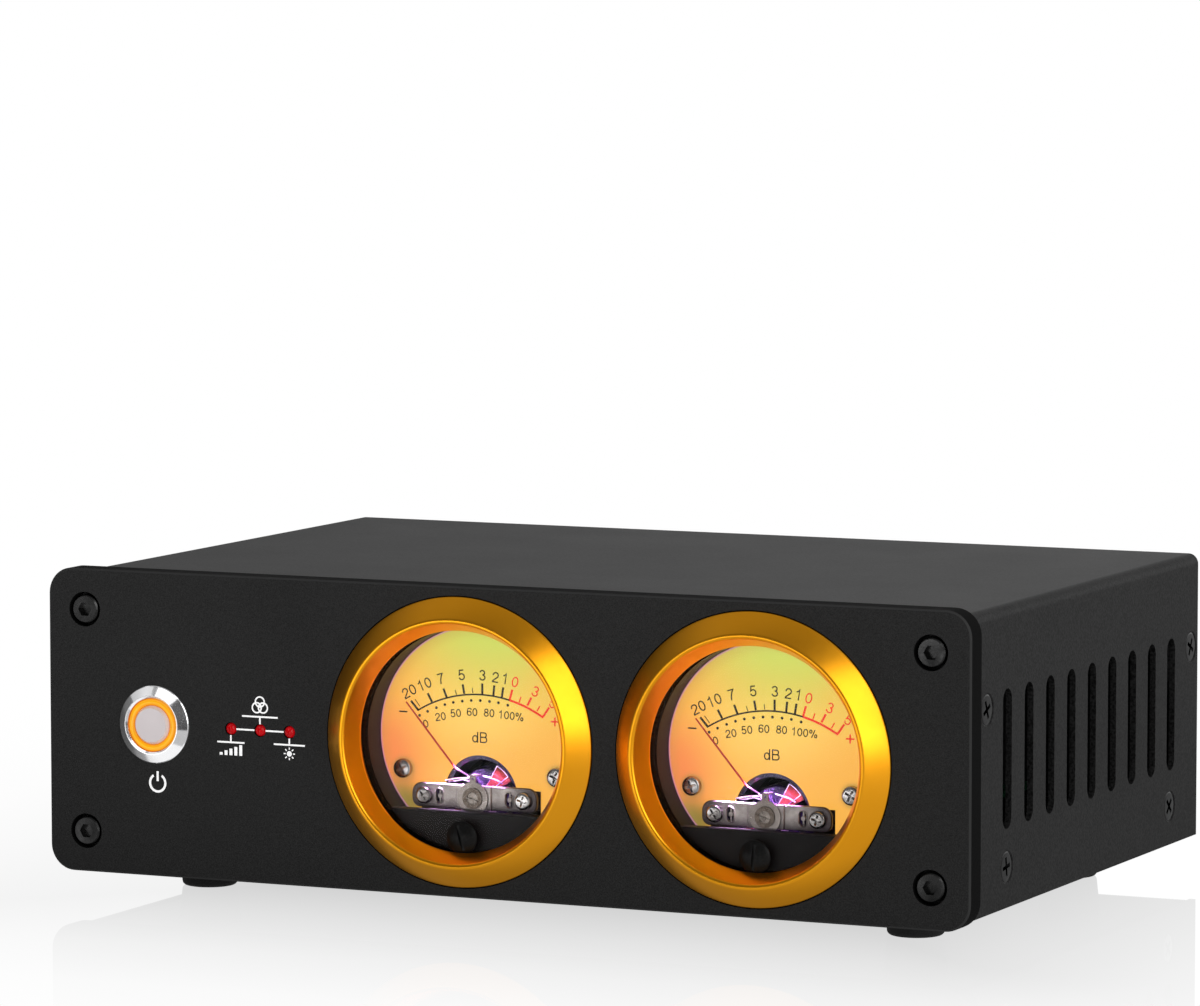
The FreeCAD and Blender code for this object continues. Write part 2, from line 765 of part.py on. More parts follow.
def foot_and_rear_screws():
    """Round-headed screws: up through the feet into the base, and forward through the rear panel."""
    foot_length = foot_height - foot_screw_recess + sheet + screw_grip
    foot_screw = pan_screw(pan_head_radius, pan_head_height, m3_shank_radius, foot_length)
    rear_screw = pan_screw(pan_head_radius, pan_head_height, m3_shank_radius, 2 * sheet + screw_grip)
    head_z = foot_screw_recess - pan_head_height
    screws = [aimed(foot_screw, Vector(x, y, head_z), Vector(0, 0, 1)) for x, y in foot_places]
    head_y = case_rear + pan_head_height
    screws += [aimed(rear_screw, Vector(x, head_y, z), Vector(0, -1, 0)) for x, z in rear_screw_places]
    return screws


# ---------------------------------------------------------------- push button
def power_button_bushing():
    bevel = button_flange_bevel
    profile = [
        (button_bore_radius, button_lip_drop - button_rim_height), (button_rim_radius - bevel, -button_rim_height),
        (button_rim_radius, -button_rim_height), (button_flange_radius - bevel, -button_flange_edge - bevel),
        (button_flange_radius, -button_flange_edge), (button_flange_radius, 0), (button_barrel_radius, 0),
        (button_barrel_radius, button_barrel_length), (button_bore_radius, button_barrel_length),
    ]
    return turned_y(profile, button_x, panel_middle_z)


def power_button_cap():
    """Bevelled cap on a plunger, with a stem behind that works the switch."""
    face = -button_cap_height
    plunger = button_bore_radius - button_play
    plunger_back = button_ring_back + button_plunger_thickness
    stem_end = button_barrel_length - button_travel - 2 * button_play
    profile = [
        (0, face), (button_cap_radius - button_cap_bevel_width, face),
        (button_cap_radius, face + button_cap_bevel_depth), (button_cap_radius, button_ring_back),
        (plunger, button_ring_back), (plunger, plunger_back), (button_stem_radius, plunger_back),
        (button_stem_radius, stem_end), (0, stem_end),
    ]
    return turned_y(profile, button_x, panel_middle_z)


def power_button_glow_ring():
    """Light guide round the cap, with a rounded front."""
    inner = button_cap_radius
    outer = button_bore_radius - button_play
    edge = button_ring_crown - button_ring_height
    profile = [
        Part.Arc(
            Vector(inner, edge, 0), Vector((inner + outer) / 2, -button_ring_height, 0), Vector(outer, edge, 0)
        ).toShape(),
        Part.makeLine(Vector(outer, edge, 0), Vector(outer, button_ring_back, 0)),
        Part.makeLine(Vector(outer, button_ring_back, 0), Vector(inner, button_ring_back, 0)),
        Part.makeLine(Vector(inner, button_ring_back, 0), Vector(inner, edge, 0)),
    ]
    ring = Part.Face(Part.Wire(profile)).revolve(Vector(0, 0, 0), Vector(0, 1, 0), 360)
    ring.translate(Vector(button_x, 0, panel_middle_z))
    return ring


def power_button_nut():
    nut = aimed(
        hexagon_prism(button_nut_flats, button_nut_thickness),
        Vector(button_x, wall_back, panel_middle_z), Vector(0, 1, 0),
    )
    hole = rod_y(
        button_barrel_radius + thread_gap, button_x, panel_middle_z, wall_back, wall_back + button_nut_thickness
    )
    return nut.cut(hole)


def power_button_switch():
    y0 = button_barrel_length
    y1 = y0 + switch_body_length
    shapes = [rod_y(button_barrel_radius - switch_body_step, button_x, panel_middle_z, y0, y1)]
    for side in (-1, 1):
        for level in (-1, 1):
            x = button_x + side * switch_pin_offset
            z = panel_middle_z + level * switch_pin_offset
            shapes.append(block(
                x - switch_pin_thickness / 2, x + switch_pin_thickness / 2, y1 - 1, y1 + switch_pin_length,
                z - switch_pin_width / 2, z + switch_pin_width / 2,
            ))
    return joined(shapes)


# ---------------------------------------------------------------- trimmers
def trimmer_shaft(x):
    end = wall_back + trimmer_shaft_depth
    front = -trimmer_proud
    ball = (trimmer_shaft_radius ** 2 + trimmer_dome ** 2) / (2 * trimmer_dome)
    tip = rod_y(trimmer_shaft_radius, x, panel_middle_z, front, front + trimmer_dome)
    tip = tip.common(Part.makeSphere(ball, Vector(x, front + ball, panel_middle_z)))
    slot = block(
        x - trimmer_slot_width / 2, x + trimmer_slot_width / 2, front, front + trimmer_slot_depth,
        panel_middle_z - trimmer_shaft_radius, panel_middle_z + trimmer_shaft_radius,
    )
    stem = rod_y(trimmer_shaft_radius, x, panel_middle_z, front + trimmer_dome, end)
    return joined([tip.cut(slot), stem])


def trimmer_body(x):
    body = block(
        x - trimmer_body_width / 2, x + trimmer_body_width / 2, wall_back, trimmer_board_front,
        panel_middle_z - trimmer_body_height / 2, panel_middle_z + trimmer_body_height / 2,
    )
    bore_end = wall_back + trimmer_shaft_depth + trimmer_shaft_play
    return body.cut(rod_y(trimmer_shaft_radius + trimmer_shaft_play, x, panel_middle_z, wall_back, bore_end))


def trimmer_board():
    y1 = trimmer_board_front + board_thickness
    board = block(
        trimmer_board_left, trimmer_board_right, trimmer_board_front, y1,
        panel_middle_z - trimmer_board_half_height, panel_middle_z + trimmer_board_half_height,
    )
    holes = [rod_y(m2_shank_radius + fit_gap, x, z, trimmer_board_front, y1) for x, z in trimmer_post_places]
    return without(board, holes)


# ---------------------------------------------------------------- main board and sockets
def main_board():
    board = block(board_left_x, board_right_x, board_front_y, board_rear_y, board_bottom, board_top)
    holes = [rod_z(m3_shank_radius + fit_gap, x, y, board_bottom, board_top) for x, y in standoff_places]
    return without(board, holes)


def board_standoffs():
    posts = []
    for x, y in standoff_places:
        post = aimed(hexagon_prism(standoff_flats, standoff_height), Vector(x, y, floor_top), Vector(0, 0, 1))
        posts.append(post.cut(rod_z(m3_shank_radius + thread_gap, x, y, floor_top + sheet, board_bottom)))
    return posts


def board_screws():
    """Screws of the main board, driven down, and of the trimmer board, driven forward."""
    main = pan_screw(pan_head_radius, pan_head_height, m3_shank_radius, standoff_height - sheet)
    small = pan_screw(dial_screw_head_radius, dial_screw_head_height, m2_shank_radius, 2 * board_thickness)
    screws = [aimed(main, Vector(x, y, board_top + pan_head_height), Vector(0, 0, -1)) for x, y in standoff_places]
    head_y = trimmer_board_front + board_thickness + dial_screw_head_height
    screws += [aimed(small, Vector(x, head_y, z), Vector(0, -1, 0)) for x, z in trimmer_post_places]
    return screws


def board_capacitors():
    cans = []
    for index in range(capacitor_count):
        x = board_left_x + capacitor_inset_x + index * capacitor_pitch
        y = board_front_y + capacitor_inset_y
        can = rod_z(capacitor_radius, x, y, board_top, board_top + capacitor_height)
        rim = [edge for edge in can.Edges if edge.BoundBox.ZMin > board_top + capacitor_height / 2]
        cans.append(can.makeFillet(capacitor_radius / 10, rim))
    return cans


def board_chips():
    chips = []
    for index in range(chip_count):
        x = board_right_x - chip_inset_x - index * chip_pitch
        y = board_front_y + chip_inset_y
        chip = block(
            x - chip_length / 2, x + chip_length / 2, y - chip_width / 2, y + chip_width / 2,
            board_top, board_top + chip_height,
        )
        notch = rod_z(chip_notch_radius, x - chip_length / 2, y, board_top + chip_height / 2, board_top + chip_height)
        chips.append(chip.cut(notch))
    return chips


def rca_block():
    """Housing of the four phono sockets, with a round seat for each shell's flange."""
    half = jack_pitch_x / 2 + jack_block_margin
    block_top = jack_low_z + jack_pitch_z + jack_block_margin
    housing = block(jack_x - half, jack_x + half, rear_panel_front - jack_block_depth, rear_panel_front, board_top, block_top)
    shapes = [housing]
    shapes += [rod_y(jack_flange_radius, x, z, rear_panel_front - sheet, case_rear) for x, z in jack_places]
    housing = joined(shapes)
    bore = jack_pin_bore_radius + jack_contact_wall
    cutters = [rod_y(bore, x, z, case_rear - jack_contact_depth, case_rear) for x, z in jack_places]
    return without(housing, cutters)


def rca_shells():
    return [
        pipe_y(jack_shell_radius, jack_shell_radius - jack_shell_wall, x, z, case_rear, case_rear + jack_shell_reach)
        for x, z in jack_places
    ]


def rca_insulators():
    outer = jack_shell_radius - jack_shell_wall - fit_gap / 2
    bore = jack_pin_bore_radius + jack_contact_wall
    return [pipe_y(outer, bore, x, z, case_rear, case_rear + jack_insulator_reach) for x, z in jack_places]


def dc_socket():
    body = block(
        power_socket_x - power_socket_width / 2, power_socket_x + power_socket_width / 2,
        rear_panel_front - power_socket_depth, rear_panel_front, board_top, board_top + power_socket_height,
    )
    bore = rod_y(
        power_socket_bore_radius, power_socket_x, power_socket_z,
        rear_panel_front - power_socket_bore_depth, rear_panel_front,
    )
    return body.cut(bore)


def jack_contacts():
    """Spring tubes of the phono sockets, and the centre pin of the power socket."""
    outer = jack_pin_bore_radius + jack_contact_wall
    tubes = [
        pipe_y(
            outer, jack_pin_bore_radius, x, z, case_rear - jack_contact_depth, case_rear + jack_insulator_reach
        ) for x, z in jack_places
    ]
    pin = rod_y(
        power_pin_radius, power_socket_x, power_socket_z,
        rear_panel_front - power_socket_bore_depth, rear_panel_front - sheet / 2,
    )
    return tubes + [pin]


# ---------------------------------------------------------------- meters: bezel, window and case
def bezel_ring(x):
    """Bezel: a cone up to a rounded lip, a cone down to the opening, and a spigot through the panel."""
    half_lip = lip_round
    points = [
        (ring_radius, ring_seat_depth), (ring_radius, -ring_edge_rise),
        (ring_lip_radius + half_lip, lip_front_y), (ring_lip_radius - half_lip, lip_front_y),
        (ring_opening_radius, ring_opening_y), (ring_opening_radius, ring_opening_y + ring_land),
        (ring_pocket_radius, ring_opening_y + ring_land), (ring_pocket_radius, ring_seat_depth),
        (window_radius + fit_gap, ring_seat_depth), (window_radius + fit_gap, window_end_y),
        (case_radius + fit_gap, window_end_y), (case_radius + fit_gap, wall_back - spigot_end_gap),
        (spigot_radius, wall_back - spigot_end_gap), (spigot_radius, ring_seat_depth),
    ]
    ring = turned_y(points, x, panel_middle_z)
    lip = [edge for edge in ring.Edges if abs(edge.CenterOfMass.y - lip_front_y) < lip_round / 10 and
           edge.BoundBox.YLength < lip_round]
    return ring.makeFillet(lip_round * 0.9, lip)


def window(x):
    """Clear window with a short skirt that meets the front of the meter's case."""
    front = ring_seat_depth
    points = [
        (0, front), (window_radius, front), (window_radius, window_end_y),
        (window_skirt_radius, window_end_y), (window_skirt_radius, front + window_thickness),
        (0, front + window_thickness),
    ]
    pane = turned_y(points, x, panel_middle_z)
    hole = rod_y(adjuster_shaft_radius + fit_gap, x, adjuster_height, front, front + window_thickness)
    return pane.cut(hole)


def meter_case(x):
    dial_back = dial_front_y + dial_thickness
    flange_back = wall_back + case_flange_thickness
    floor_back = case_floor_y + case_floor_thickness
    points = [
        (case_bore_radius, window_end_y), (case_radius, window_end_y), (case_radius, wall_back),
        (case_flange_radius, wall_back), (case_flange_radius, flange_back), (case_body_radius, flange_back),
        (case_body_radius, floor_back), (0, floor_back), (0, case_floor_y), (case_ledge_radius, case_floor_y),
        (case_ledge_radius, dial_back), (case_bore_radius, dial_back),
    ]
    tub = turned_y(points, x, panel_middle_z)
    seat_y = case_floor_y - light_board_seat
    inner = case_ledge_radius + fit_gap
    step = pipe_y(inner, inner - light_board_ledge, x, panel_middle_z, seat_y, case_floor_y + sheet)
    pole_back = pole_front_y + pole_length
    pedestal = pipe_y(pole_radius, pedestal_bore_radius, x, pivot_height, pole_back, case_floor_y + sheet)
    posts = [
        rod_y(dial_post_radius, x + side * dial_screw_x, panel_middle_z + dial_screw_z, dial_back, case_floor_y + sheet)
        for side in (-1, 1)
    ]
    boss = rod_y(2 * jewel_screw_radius, x, pivot_height, rear_jewel_front_y, case_floor_y + sheet)
    tub = joined([tub, step, pedestal, boss] + posts)
    cutters = [rod_y(jewel_screw_radius + thread_gap, x, pivot_height, rear_jewel_front_y, floor_back)]
    for side in (-1, 1):
        cutters.append(rod_y(
            m2_shank_radius + thread_gap, x + side * dial_screw_x, panel_middle_z + dial_screw_z, dial_back, case_floor_y
        ))
        cutters.append(rod_y(
            terminal_radius + fit_gap, x + side * terminal_x, panel_middle_z + terminal_z, case_floor_y, floor_back
        ))
    return without(tub, cutters)


def dial_plate(x):
    """Translucent dial with a half-round opening over the movement and a notch behind the bridge."""
    back = dial_front_y + dial_thickness
    plate = rod_y(dial_radius, x, panel_middle_z, dial_front_y, back)
    below = block(
        x - 2 * dial_radius, x + 2 * dial_radius, dial_front_y, back,
        panel_middle_z - 2 * dial_radius, panel_middle_z + dial_chord_z,
    )
    notch = block(
        x - dial_notch_half_width, x + dial_notch_half_width, dial_front_y, back,
        panel_middle_z - 2 * dial_radius, pivot_height + dial_notch_top,
    )
    opening = rod_y(dial_opening_radius, x, pivot_height, dial_front_y, back)
    holes = [
        rod_y(m2_shank_radius + fit_gap, x + side * dial_screw_x, panel_middle_z + dial_screw_z, dial_front_y, back)
        for side in (-1, 1)
    ]
    return without(plate, [below, notch, opening] + holes)


def dial_screws(x):
    screw = pan_screw(dial_screw_head_radius, dial_screw_head_height, m2_shank_radius, dial_screw_length)
    front = dial_front_y - dial_screw_head_height
    return [
        aimed(screw, Vector(x + side * dial_screw_x, front, panel_middle_z + dial_screw_z), Vector(0, 1, 0))
        for side in (-1, 1)
    ]


def mask(x):
    """Black mask over the lower part of the dial: a front wall with a shelf along its upper edge."""
    top = pivot_height - mask_top_drop
    outer = rod_y(mask_radius, x, panel_middle_z, mask_front_y, mask_back_y)
    above = block(
        x - 2 * mask_radius, x + 2 * mask_radius, mask_front_y, mask_back_y, top, panel_middle_z + 2 * mask_radius
    )
    hollow = rod_y(mask_radius - mask_wall, x, panel_middle_z, mask_front_y + mask_wall, mask_back_y)
    roof = block(
        x - 2 * mask_radius, x + 2 * mask_radius, mask_front_y, mask_back_y,
        top - mask_wall, panel_middle_z + 2 * mask_radius,
    )
    hole = rod_y(mask_hole_radius, x, adjuster_height, mask_front_y, mask_front_y + mask_wall)
    return without(outer, [above, hollow.cut(roof), hole])


def zero_adjuster(x, slot_tilt):
    """Domed head in front of the window, a shaft through it, and an eccentric pin that moves the fork."""
    window_front = ring_seat_depth
    window_back = window_front + window_thickness
    ball = (adjuster_head_radius ** 2 + adjuster_dome_depth ** 2) / (2 * adjuster_dome_depth)
    head = rod_y(adjuster_head_radius, x, adjuster_height, adjuster_front_y, window_front - fit_gap)
    dome = Part.makeSphere(ball, Vector(x, adjuster_front_y + ball, adjuster_height))
    head = head.common(dome)
    slot = block(
        x - adjuster_slot_width / 2, x + adjuster_slot_width / 2,
        adjuster_front_y - adjuster_dome_depth, adjuster_front_y + adjuster_slot_depth,
        adjuster_height - 2 * adjuster_head_radius, adjuster_height + 2 * adjuster_head_radius,
    )
    slot.rotate(Vector(x, 0, adjuster_height), Vector(0, 1, 0), slot_tilt)
    collar_y = window_back + fit_gap
    collar_end = collar_y + adjuster_collar_thickness
    shaft = rod_y(adjuster_shaft_radius, x, adjuster_height, window_front - 2 * fit_gap, collar_end)
    collar = rod_y(adjuster_collar_radius, x, adjuster_height, collar_y, collar_end)
    pin_z = adjuster_height + adjuster_eccentricity
    pin = rod_y(adjuster_pin_radius, x, pin_z, window_back, adjuster_pin_end_y)
    return joined([head.cut(slot), shaft, collar, pin])


# ---------------------------------------------------------------- meters: movement
def bridge(x):
    """Front bridge: a bar with a raised middle for the bush, standing on two feet."""
    z0 = pivot_height + bridge_bottom
    z1 = pivot_height + bridge_top
    bar = rounded_plate(
        x - bridge_half_width, x + bridge_half_width, z0, z1, bridge_end_front_y, bridge_back_y,
        bridge_corner_radius, "top",
    )
    half = bridge_middle_half_width
    middle = block(x - half, x + half, bridge_middle_front_y, bridge_back_y, z0, z1)
    feet = [
        rod_y(bridge_foot_radius, x + side * bridge_screw_x, pivot_height, bridge_end_front_y, pole_front_y)
        for side in (-1, 1)
    ]
    lip_y = bridge_end_front_y - bridge_slot_lip_rise
    lip = 2 * bridge_slot_lip_width
    lips = [
        stadium_y(
            bridge_slot_width + lip, bridge_slot_length + lip, x + side * bridge_slot_x, pivot_height,
            lip_y, bridge_back_y,
        ) for side in (-1, 1)
    ]
    body = joined([bar, middle] + feet + lips)
    cutters = [rod_y(bush_radius + fit_gap / 2, x, pivot_height, bridge_middle_front_y, bridge_back_y)]
    for side in (-1, 1):
        cutters.append(rod_y(
            m2_shank_radius + thread_gap, x + side * bridge_screw_x, pivot_height, bridge_end_front_y, pole_front_y
        ))
        cutters.append(stadium_y(
            bridge_slot_width, bridge_slot_length, x + side * bridge_slot_x, pivot_height, lip_y, bridge_back_y
        ))
    return without(body, cutters)


def bridge_screws(x):
    length = pole_front_y + pole_ear_thickness - bridge_end_front_y
    screw = pan_screw(bridge_screw_head_radius, bridge_screw_head_height, m2_shank_radius, length)
    front = bridge_end_front_y - bridge_screw_head_height
    return [
        aimed(screw, Vector(x + side * bridge_screw_x, front, pivot_height), Vector(0, 1, 0)) for side in (-1, 1)
    ]


def jewel_screw(slot_tilt, cup):
    """Screw that holds a jewel: slotted at z = 0, with a cup for the spindle's tip in its far end."""
    body = Part.makeCylinder(jewel_screw_radius, jewel_screw_length)
    slot = Part.makeBox(
        2 * jewel_screw_radius, jewel_slot_width, jewel_slot_depth,
        Vector(-jewel_screw_radius, -jewel_slot_width / 2, 0),
    )
    slot.rotate(Vector(0, 0, 0), Vector(0, 0, 1), slot_tilt)
    cup_cone = Part.makeCone(0, cup, jewel_cup_depth, Vector(0, 0, jewel_screw_length - jewel_cup_depth))
    return body.cut(slot).cut(cup_cone)


def jewel_bearings(x):
    """Flanged bush in the bridge with its jewel screw, and the rear jewel screw in the floor of the case."""
    bore = jewel_screw_radius + thread_gap
    flange_back = bush_front_y + bush_flange_thickness
    bush = turned_y([
        (bore, bush_front_y), (bush_flange_radius, bush_front_y), (bush_flange_radius, flange_back),
        (bush_radius, flange_back), (bush_radius, bridge_back_y), (bore, bridge_back_y),
    ], x, pivot_height)
    front = aimed(jewel_screw(15, jewel_cup_radius), Vector(x, jewel_screw_front_y, pivot_height), Vector(0, 1, 0))
    rear_y = rear_jewel_front_y + jewel_screw_length
    rear = aimed(jewel_screw(40, jewel_cup_radius), Vector(x, rear_y, pivot_height), Vector(0, -1, 0))
    return [bush, front, rear]


def zero_fork(x):
    """Zero arm: a disc that turns on the bush, a tab up and back to the hairspring, and a fork down to the pin."""
    y0 = zero_disc_front_y
    y1 = y0 + zero_disc_thickness
    disc = rod_y(zero_disc_radius, x, pivot_height, y0, y1)
    half = zero_tab_width / 2
    tab = block(x - half, x + half, y0, y1, pivot_height, pivot_height + zero_tab_reach)
    turn_back = block(
        x - half, x + half, y0, zero_tab_back_y,
        pivot_height + zero_tab_reach - zero_disc_thickness, pivot_height + zero_tab_reach,
    )
    fork = block(
        x - zero_fork_half_width, x + zero_fork_half_width, y0, y1, pivot_height - zero_fork_reach, pivot_height
    )
    pin_distance = adjuster_drop - adjuster_eccentricity
    slot_half = adjuster_pin_radius + fork_play
    slot_top = pivot_height - pin_distance + adjuster_pin_radius + 2 * fork_play
    slot = block(x - slot_half, x + slot_half, y0, y1, pivot_height - 2 * zero_fork_reach, slot_top)
    holes = [
        rod_y(bush_radius + fit_gap, x, pivot_height, y0, y1),
        rod_y(zero_tab_hole_radius, x, pivot_height + zero_tab_reach - zero_tab_hole_inset, y0, y1),
    ]
    return without(joined([disc, tab, turn_back, fork]), [slot] + holes)


def pole_ring(x):
    """Pole ring with an ear at each side for the bridge's feet, and a web below that carries the core."""
    pole_back = pole_front_y + pole_length
    ring = rod_y(pole_radius, x, pivot_height, pole_front_y, pole_back)
    ears = block(
        x - bridge_half_width, x + bridge_half_width, pole_front_y, pole_front_y + pole_ear_thickness,
        pivot_height + bridge_bottom, pivot_height + bridge_top,
    )
    body = ring.fuse(ears).cut(rod_y(pole_bore_radius, x, pivot_height, pole_front_y, pole_back))
    web = turned_y(
        [(core_radius, core_front_y), (pole_bore_radius + sheet / 2, core_front_y),
         (pole_bore_radius + sheet / 2, pole_back), (core_radius, pole_back)],
        x, pivot_height, core_web_angle, 180 - core_web_angle / 2,
    )
    body = joined([body, web])
    holes = [
        rod_y(
            m2_shank_radius + thread_gap, x + side * bridge_screw_x, pivot_height,
            pole_front_y, pole_front_y + pole_ear_thickness,
        ) for side in (-1, 1)
    ]
    return without(body, holes)


def core_magnet(x):
    """Round core of the movement, which is its magnet."""
    back = core_front_y + core_length
    inner = core_radius - core_chamfer
    points = [(0, core_front_y), (inner, core_front_y), (core_radius, core_front_y + core_chamfer),
              (core_radius, back), (0, back)]
    return [turned_y(points, x, pivot_height)]


def coil(x):
    """Moving coil: a winding round the core, square to the pointer. Each side of it fills a sector."""
    core_back = core_front_y + core_length
    front = core_front_y - coil_end_gap - coil_end_thickness
    back = core_back + coil_end_gap + coil_end_thickness
    profile = [
        (coil_hub_radius / 2, front), (coil_outer_radius, front), (coil_outer_radius, back),
        (coil_hub_radius / 2, back), (coil_hub_radius / 2, back - coil_end_thickness),
        (coil_inner_radius, back - coil_end_thickness), (coil_inner_radius, front + coil_end_thickness),
        (coil_hub_radius / 2, front + coil_end_thickness),
    ]
    middle = 90 - pointer_rest_angle
    sides = [turned_y(profile, x, pivot_height, coil_angle, middle - coil_angle / 2 + turn) for turn in (0, 180)]
    hubs = [
        rod_y(coil_hub_radius, x, pivot_height, front, front + coil_end_thickness),
        rod_y(coil_hub_radius, x, pivot_height, back - coil_end_thickness, back),
    ]
    return joined(sides + hubs)


def spindle(x):
    """Two half axles, glued to the ends of the coil, with pointed tips that run in the jewels."""
    coil_front = core_front_y - coil_end_gap - coil_end_thickness
    coil_back = core_front_y + core_length + coil_end_gap + coil_end_thickness
    cup_front = jewel_screw_front_y + jewel_screw_length - jewel_cup_depth
    cup_back = rear_jewel_front_y + jewel_cup_depth
    cone = jewel_cup_depth * spindle_radius / jewel_cup_radius
    tip_front = cup_front + spindle_tip_gap
    tip_back = cup_back - spindle_tip_gap
    front = turned_y([(0, tip_front), (spindle_radius, tip_front + cone), (spindle_radius, coil_front),
                      (0, coil_front)], x, pivot_height)
    rear = turned_y([(0, coil_back), (spindle_radius, coil_back), (spindle_radius, tip_back - cone),
                     (0, tip_back)], x, pivot_height)
    return [front, rear]


def pointer(x):
    """Pointer at rest: a hub on the spindle, a foot, a crank forward to clear the dial, a thin blade, a tail."""
    coil_front = core_front_y - coil_end_gap - coil_end_thickness
    back = coil_front
    foot_y = back - 2 * pointer_thickness
    blade_y = pointer_y
    wide = pointer_base_width / 2
    thin = pointer_tip_width / 2
    hub = pipe_y(pointer_hub_radius, spindle_radius + fit_gap / 5, 0, 0, foot_y - pointer_thickness, back)
    foot = block(-wide, wide, foot_y, back, pointer_hub_radius * 0.8, pointer_crank_start)
    crank_corners = [
        Vector(-wide, foot_y, pointer_crank_start), Vector(-wide, back, pointer_crank_start - pointer_thickness),
        Vector(-wide, back, pointer_crank_start + pointer_thickness),
        Vector(-wide, blade_y + pointer_thickness, pointer_crank_end + pointer_thickness),
        Vector(-wide, blade_y, pointer_crank_end + pointer_thickness), Vector(-wide, blade_y, pointer_crank_end),
    ]
    crank = Part.Face(Part.makePolygon(crank_corners + crank_corners[:1])).extrude(Vector(2 * wide, 0, 0))
    blade = prism_y(
        [(-wide, pointer_crank_end), (wide, pointer_crank_end), (thin, pointer_length), (-thin, pointer_length)],
        blade_y, blade_y + pointer_thickness,
    )
    tail = block(-wide, wide, foot_y, back, -pointer_tail_reach, -pointer_hub_radius * 0.8)
    weight = rod_y(pointer_weight_radius, 0, -pointer_tail_reach, foot_y - 3 * pointer_thickness, back)
    body = joined([hub, foot, crank, blade, tail, weight])
    body.rotate(Vector(0, 0, 0), Vector(0, 1, 0), -pointer_rest_angle)
    body.translate(Vector(x, 0, pivot_height))
    return body


def hairspring(x):
    """Flat spiral of half-turn arcs, from just outside the spindle to the tab of the zero arm."""
    edges_in = []
    edges_out = []
    y = spring_y
    inner_radius = spring_inner_radius
    start_z = pivot_height - inner_radius
    side = 1
    z = start_z
    for index in range(spring_half_turns):
        radius = inner_radius + index * spring_pitch / 2 * 0.5
        end_z = z + side * 2 * radius
        middle = (z + end_z) / 2
        bulge = -radius if side > 0 else radius
        for edges, offset in ((edges_in, 0), (edges_out, spring_strip)):
            begin = z - side * offset
            stop = end_z + side * offset
            edges.append(Part.Arc(
                Vector(x, y, begin), Vector(x + bulge + math.copysign(offset, bulge), y, middle), Vector(x, y, stop)
            ).toShape())
        z = end_z
        side = -side
    first = Part.LineSegment(edges_in[0].Vertexes[0].Point, edges_out[0].Vertexes[0].Point).toShape()
    last = Part.LineSegment(edges_in[-1].Vertexes[1].Point, edges_out[-1].Vertexes[1].Point).toShape()
    outline = Part.Wire(Part.__sortEdges__([first] + edges_in + [last] + edges_out))
    return Part.Face(outline).extrude(Vector(0, spring_height, 0))


def backlight_board(x):
    """Crescent-shaped board round the movement, with its light-emitting diodes facing the dial."""
    y1 = case_floor_y - light_board_seat
    y0 = y1 - light_board_thickness
    board = rod_y(light_board_radius, x, panel_middle_z, y0, y1)
    cutters = [rod_y(light_board_hole_radius, x, pivot_height, y0, y1)]
    for side in (-1, 1):
        cutters.append(rod_y(
            dial_post_radius + spigot_gap, x + side * dial_screw_x, panel_middle_z + dial_screw_z, y0, y1
        ))
    lights = []
    for angle in led_angles:
        led_x = x + led_circle_radius * math.cos(math.radians(angle))
        led_z = panel_middle_z + led_circle_radius * math.sin(math.radians(angle))
        half = led_size / 2
        lights.append(block(led_x - half, led_x + half, y0 - led_height, y0, led_z - half, led_z + half))
    return [without(board, cutters)] + lights


def meter_terminals(x):
    """Brass studs with nuts on the back of the meter."""
    back = case_floor_y + case_floor_thickness
    studs = []
    for side in (-1, 1):
        stud_x = x + side * terminal_x
        stud_z = panel_middle_z + terminal_z
        stud = rod_y(terminal_radius, stud_x, stud_z, case_floor_y, back + terminal_reach)
        nut = aimed(hexagon_prism(terminal_nut_flats, terminal_nut_height), Vector(stud_x, back, stud_z), Vector(0, 1, 0))
        studs.append(stud.fuse(nut))
    return studs


# ---------------------------------------------------------------- build
save("front_panel", [front_panel()])
save("top_cover", [top_cover()])
save("chassis", [chassis()])
save("rear_panel", [rear_panel()])
save("front_panel_screws", front_panel_screws())
save("cover_screws", cover_screws())
save("rubber_feet", [rubber_foot(x, y) for x, y in foot_places])
save("foot_and_rear_screws", foot_and_rear_screws())

save("main_board", [main_board()])
save("board_standoffs", board_standoffs())
save("board_screws", board_screws())
save("board_capacitors", board_capacitors())
save("board_chips", board_chips())
save("rca_block", [rca_block()])
save("rca_shells", rca_shells())
save("rca_insulators", rca_insulators())
save("dc_socket", [dc_socket()])
save("jack_contacts", jack_contacts())

save("power_button_bushing", [power_button_bushing()])
save("power_button_cap", [power_button_cap()])
save("power_button_glow_ring", [power_button_glow_ring()])
save("power_button_nut", [power_button_nut()])
save("power_button_switch", [power_button_switch()])

save("trimmer_board", [trimmer_board()])
save("trimmer_bodies", [trimmer_body(x) for x in trimmer_places.values()])
for trimmer, trimmer_x in trimmer_places.items():
    save(trimmer + "_trimmer_shaft", [trimmer_shaft(trimmer_x)])

shared_pieces = {
    "dial_screws": dial_screws,
    "bridge_screws": bridge_screws,
    "jewel_bearings": jewel_bearings,
    "core_magnets": core_magnet,
    "backlight_boards": backlight_board,
    "meter_terminals": meter_terminals,
}
for node, make in shared_pieces.items():
    save(node, [solid for meter in meters.values() for solid in make(meter["x"])])

single_pieces = {
    "bezel_ring": bezel_ring,
    "window": window,
    "meter_case": meter_case,
    "dial_plate": dial_plate,
    "mask": mask,
    "bridge": bridge,
    "zero_fork": zero_fork,
    "pole_ring": pole_ring,
    "coil": coil,
    "pointer": pointer,
    "hairspring": hairspring,
}
for name, meter in meters.items():
    for node, make in single_pieces.items():
        save(name + "_" + node, [make(meter["x"])])
    save(name + "_zero_adjuster", [zero_adjuster(meter["x"], meter["slot_tilt"])])
    save(name + "_spindle", spindle(meter["x"]))
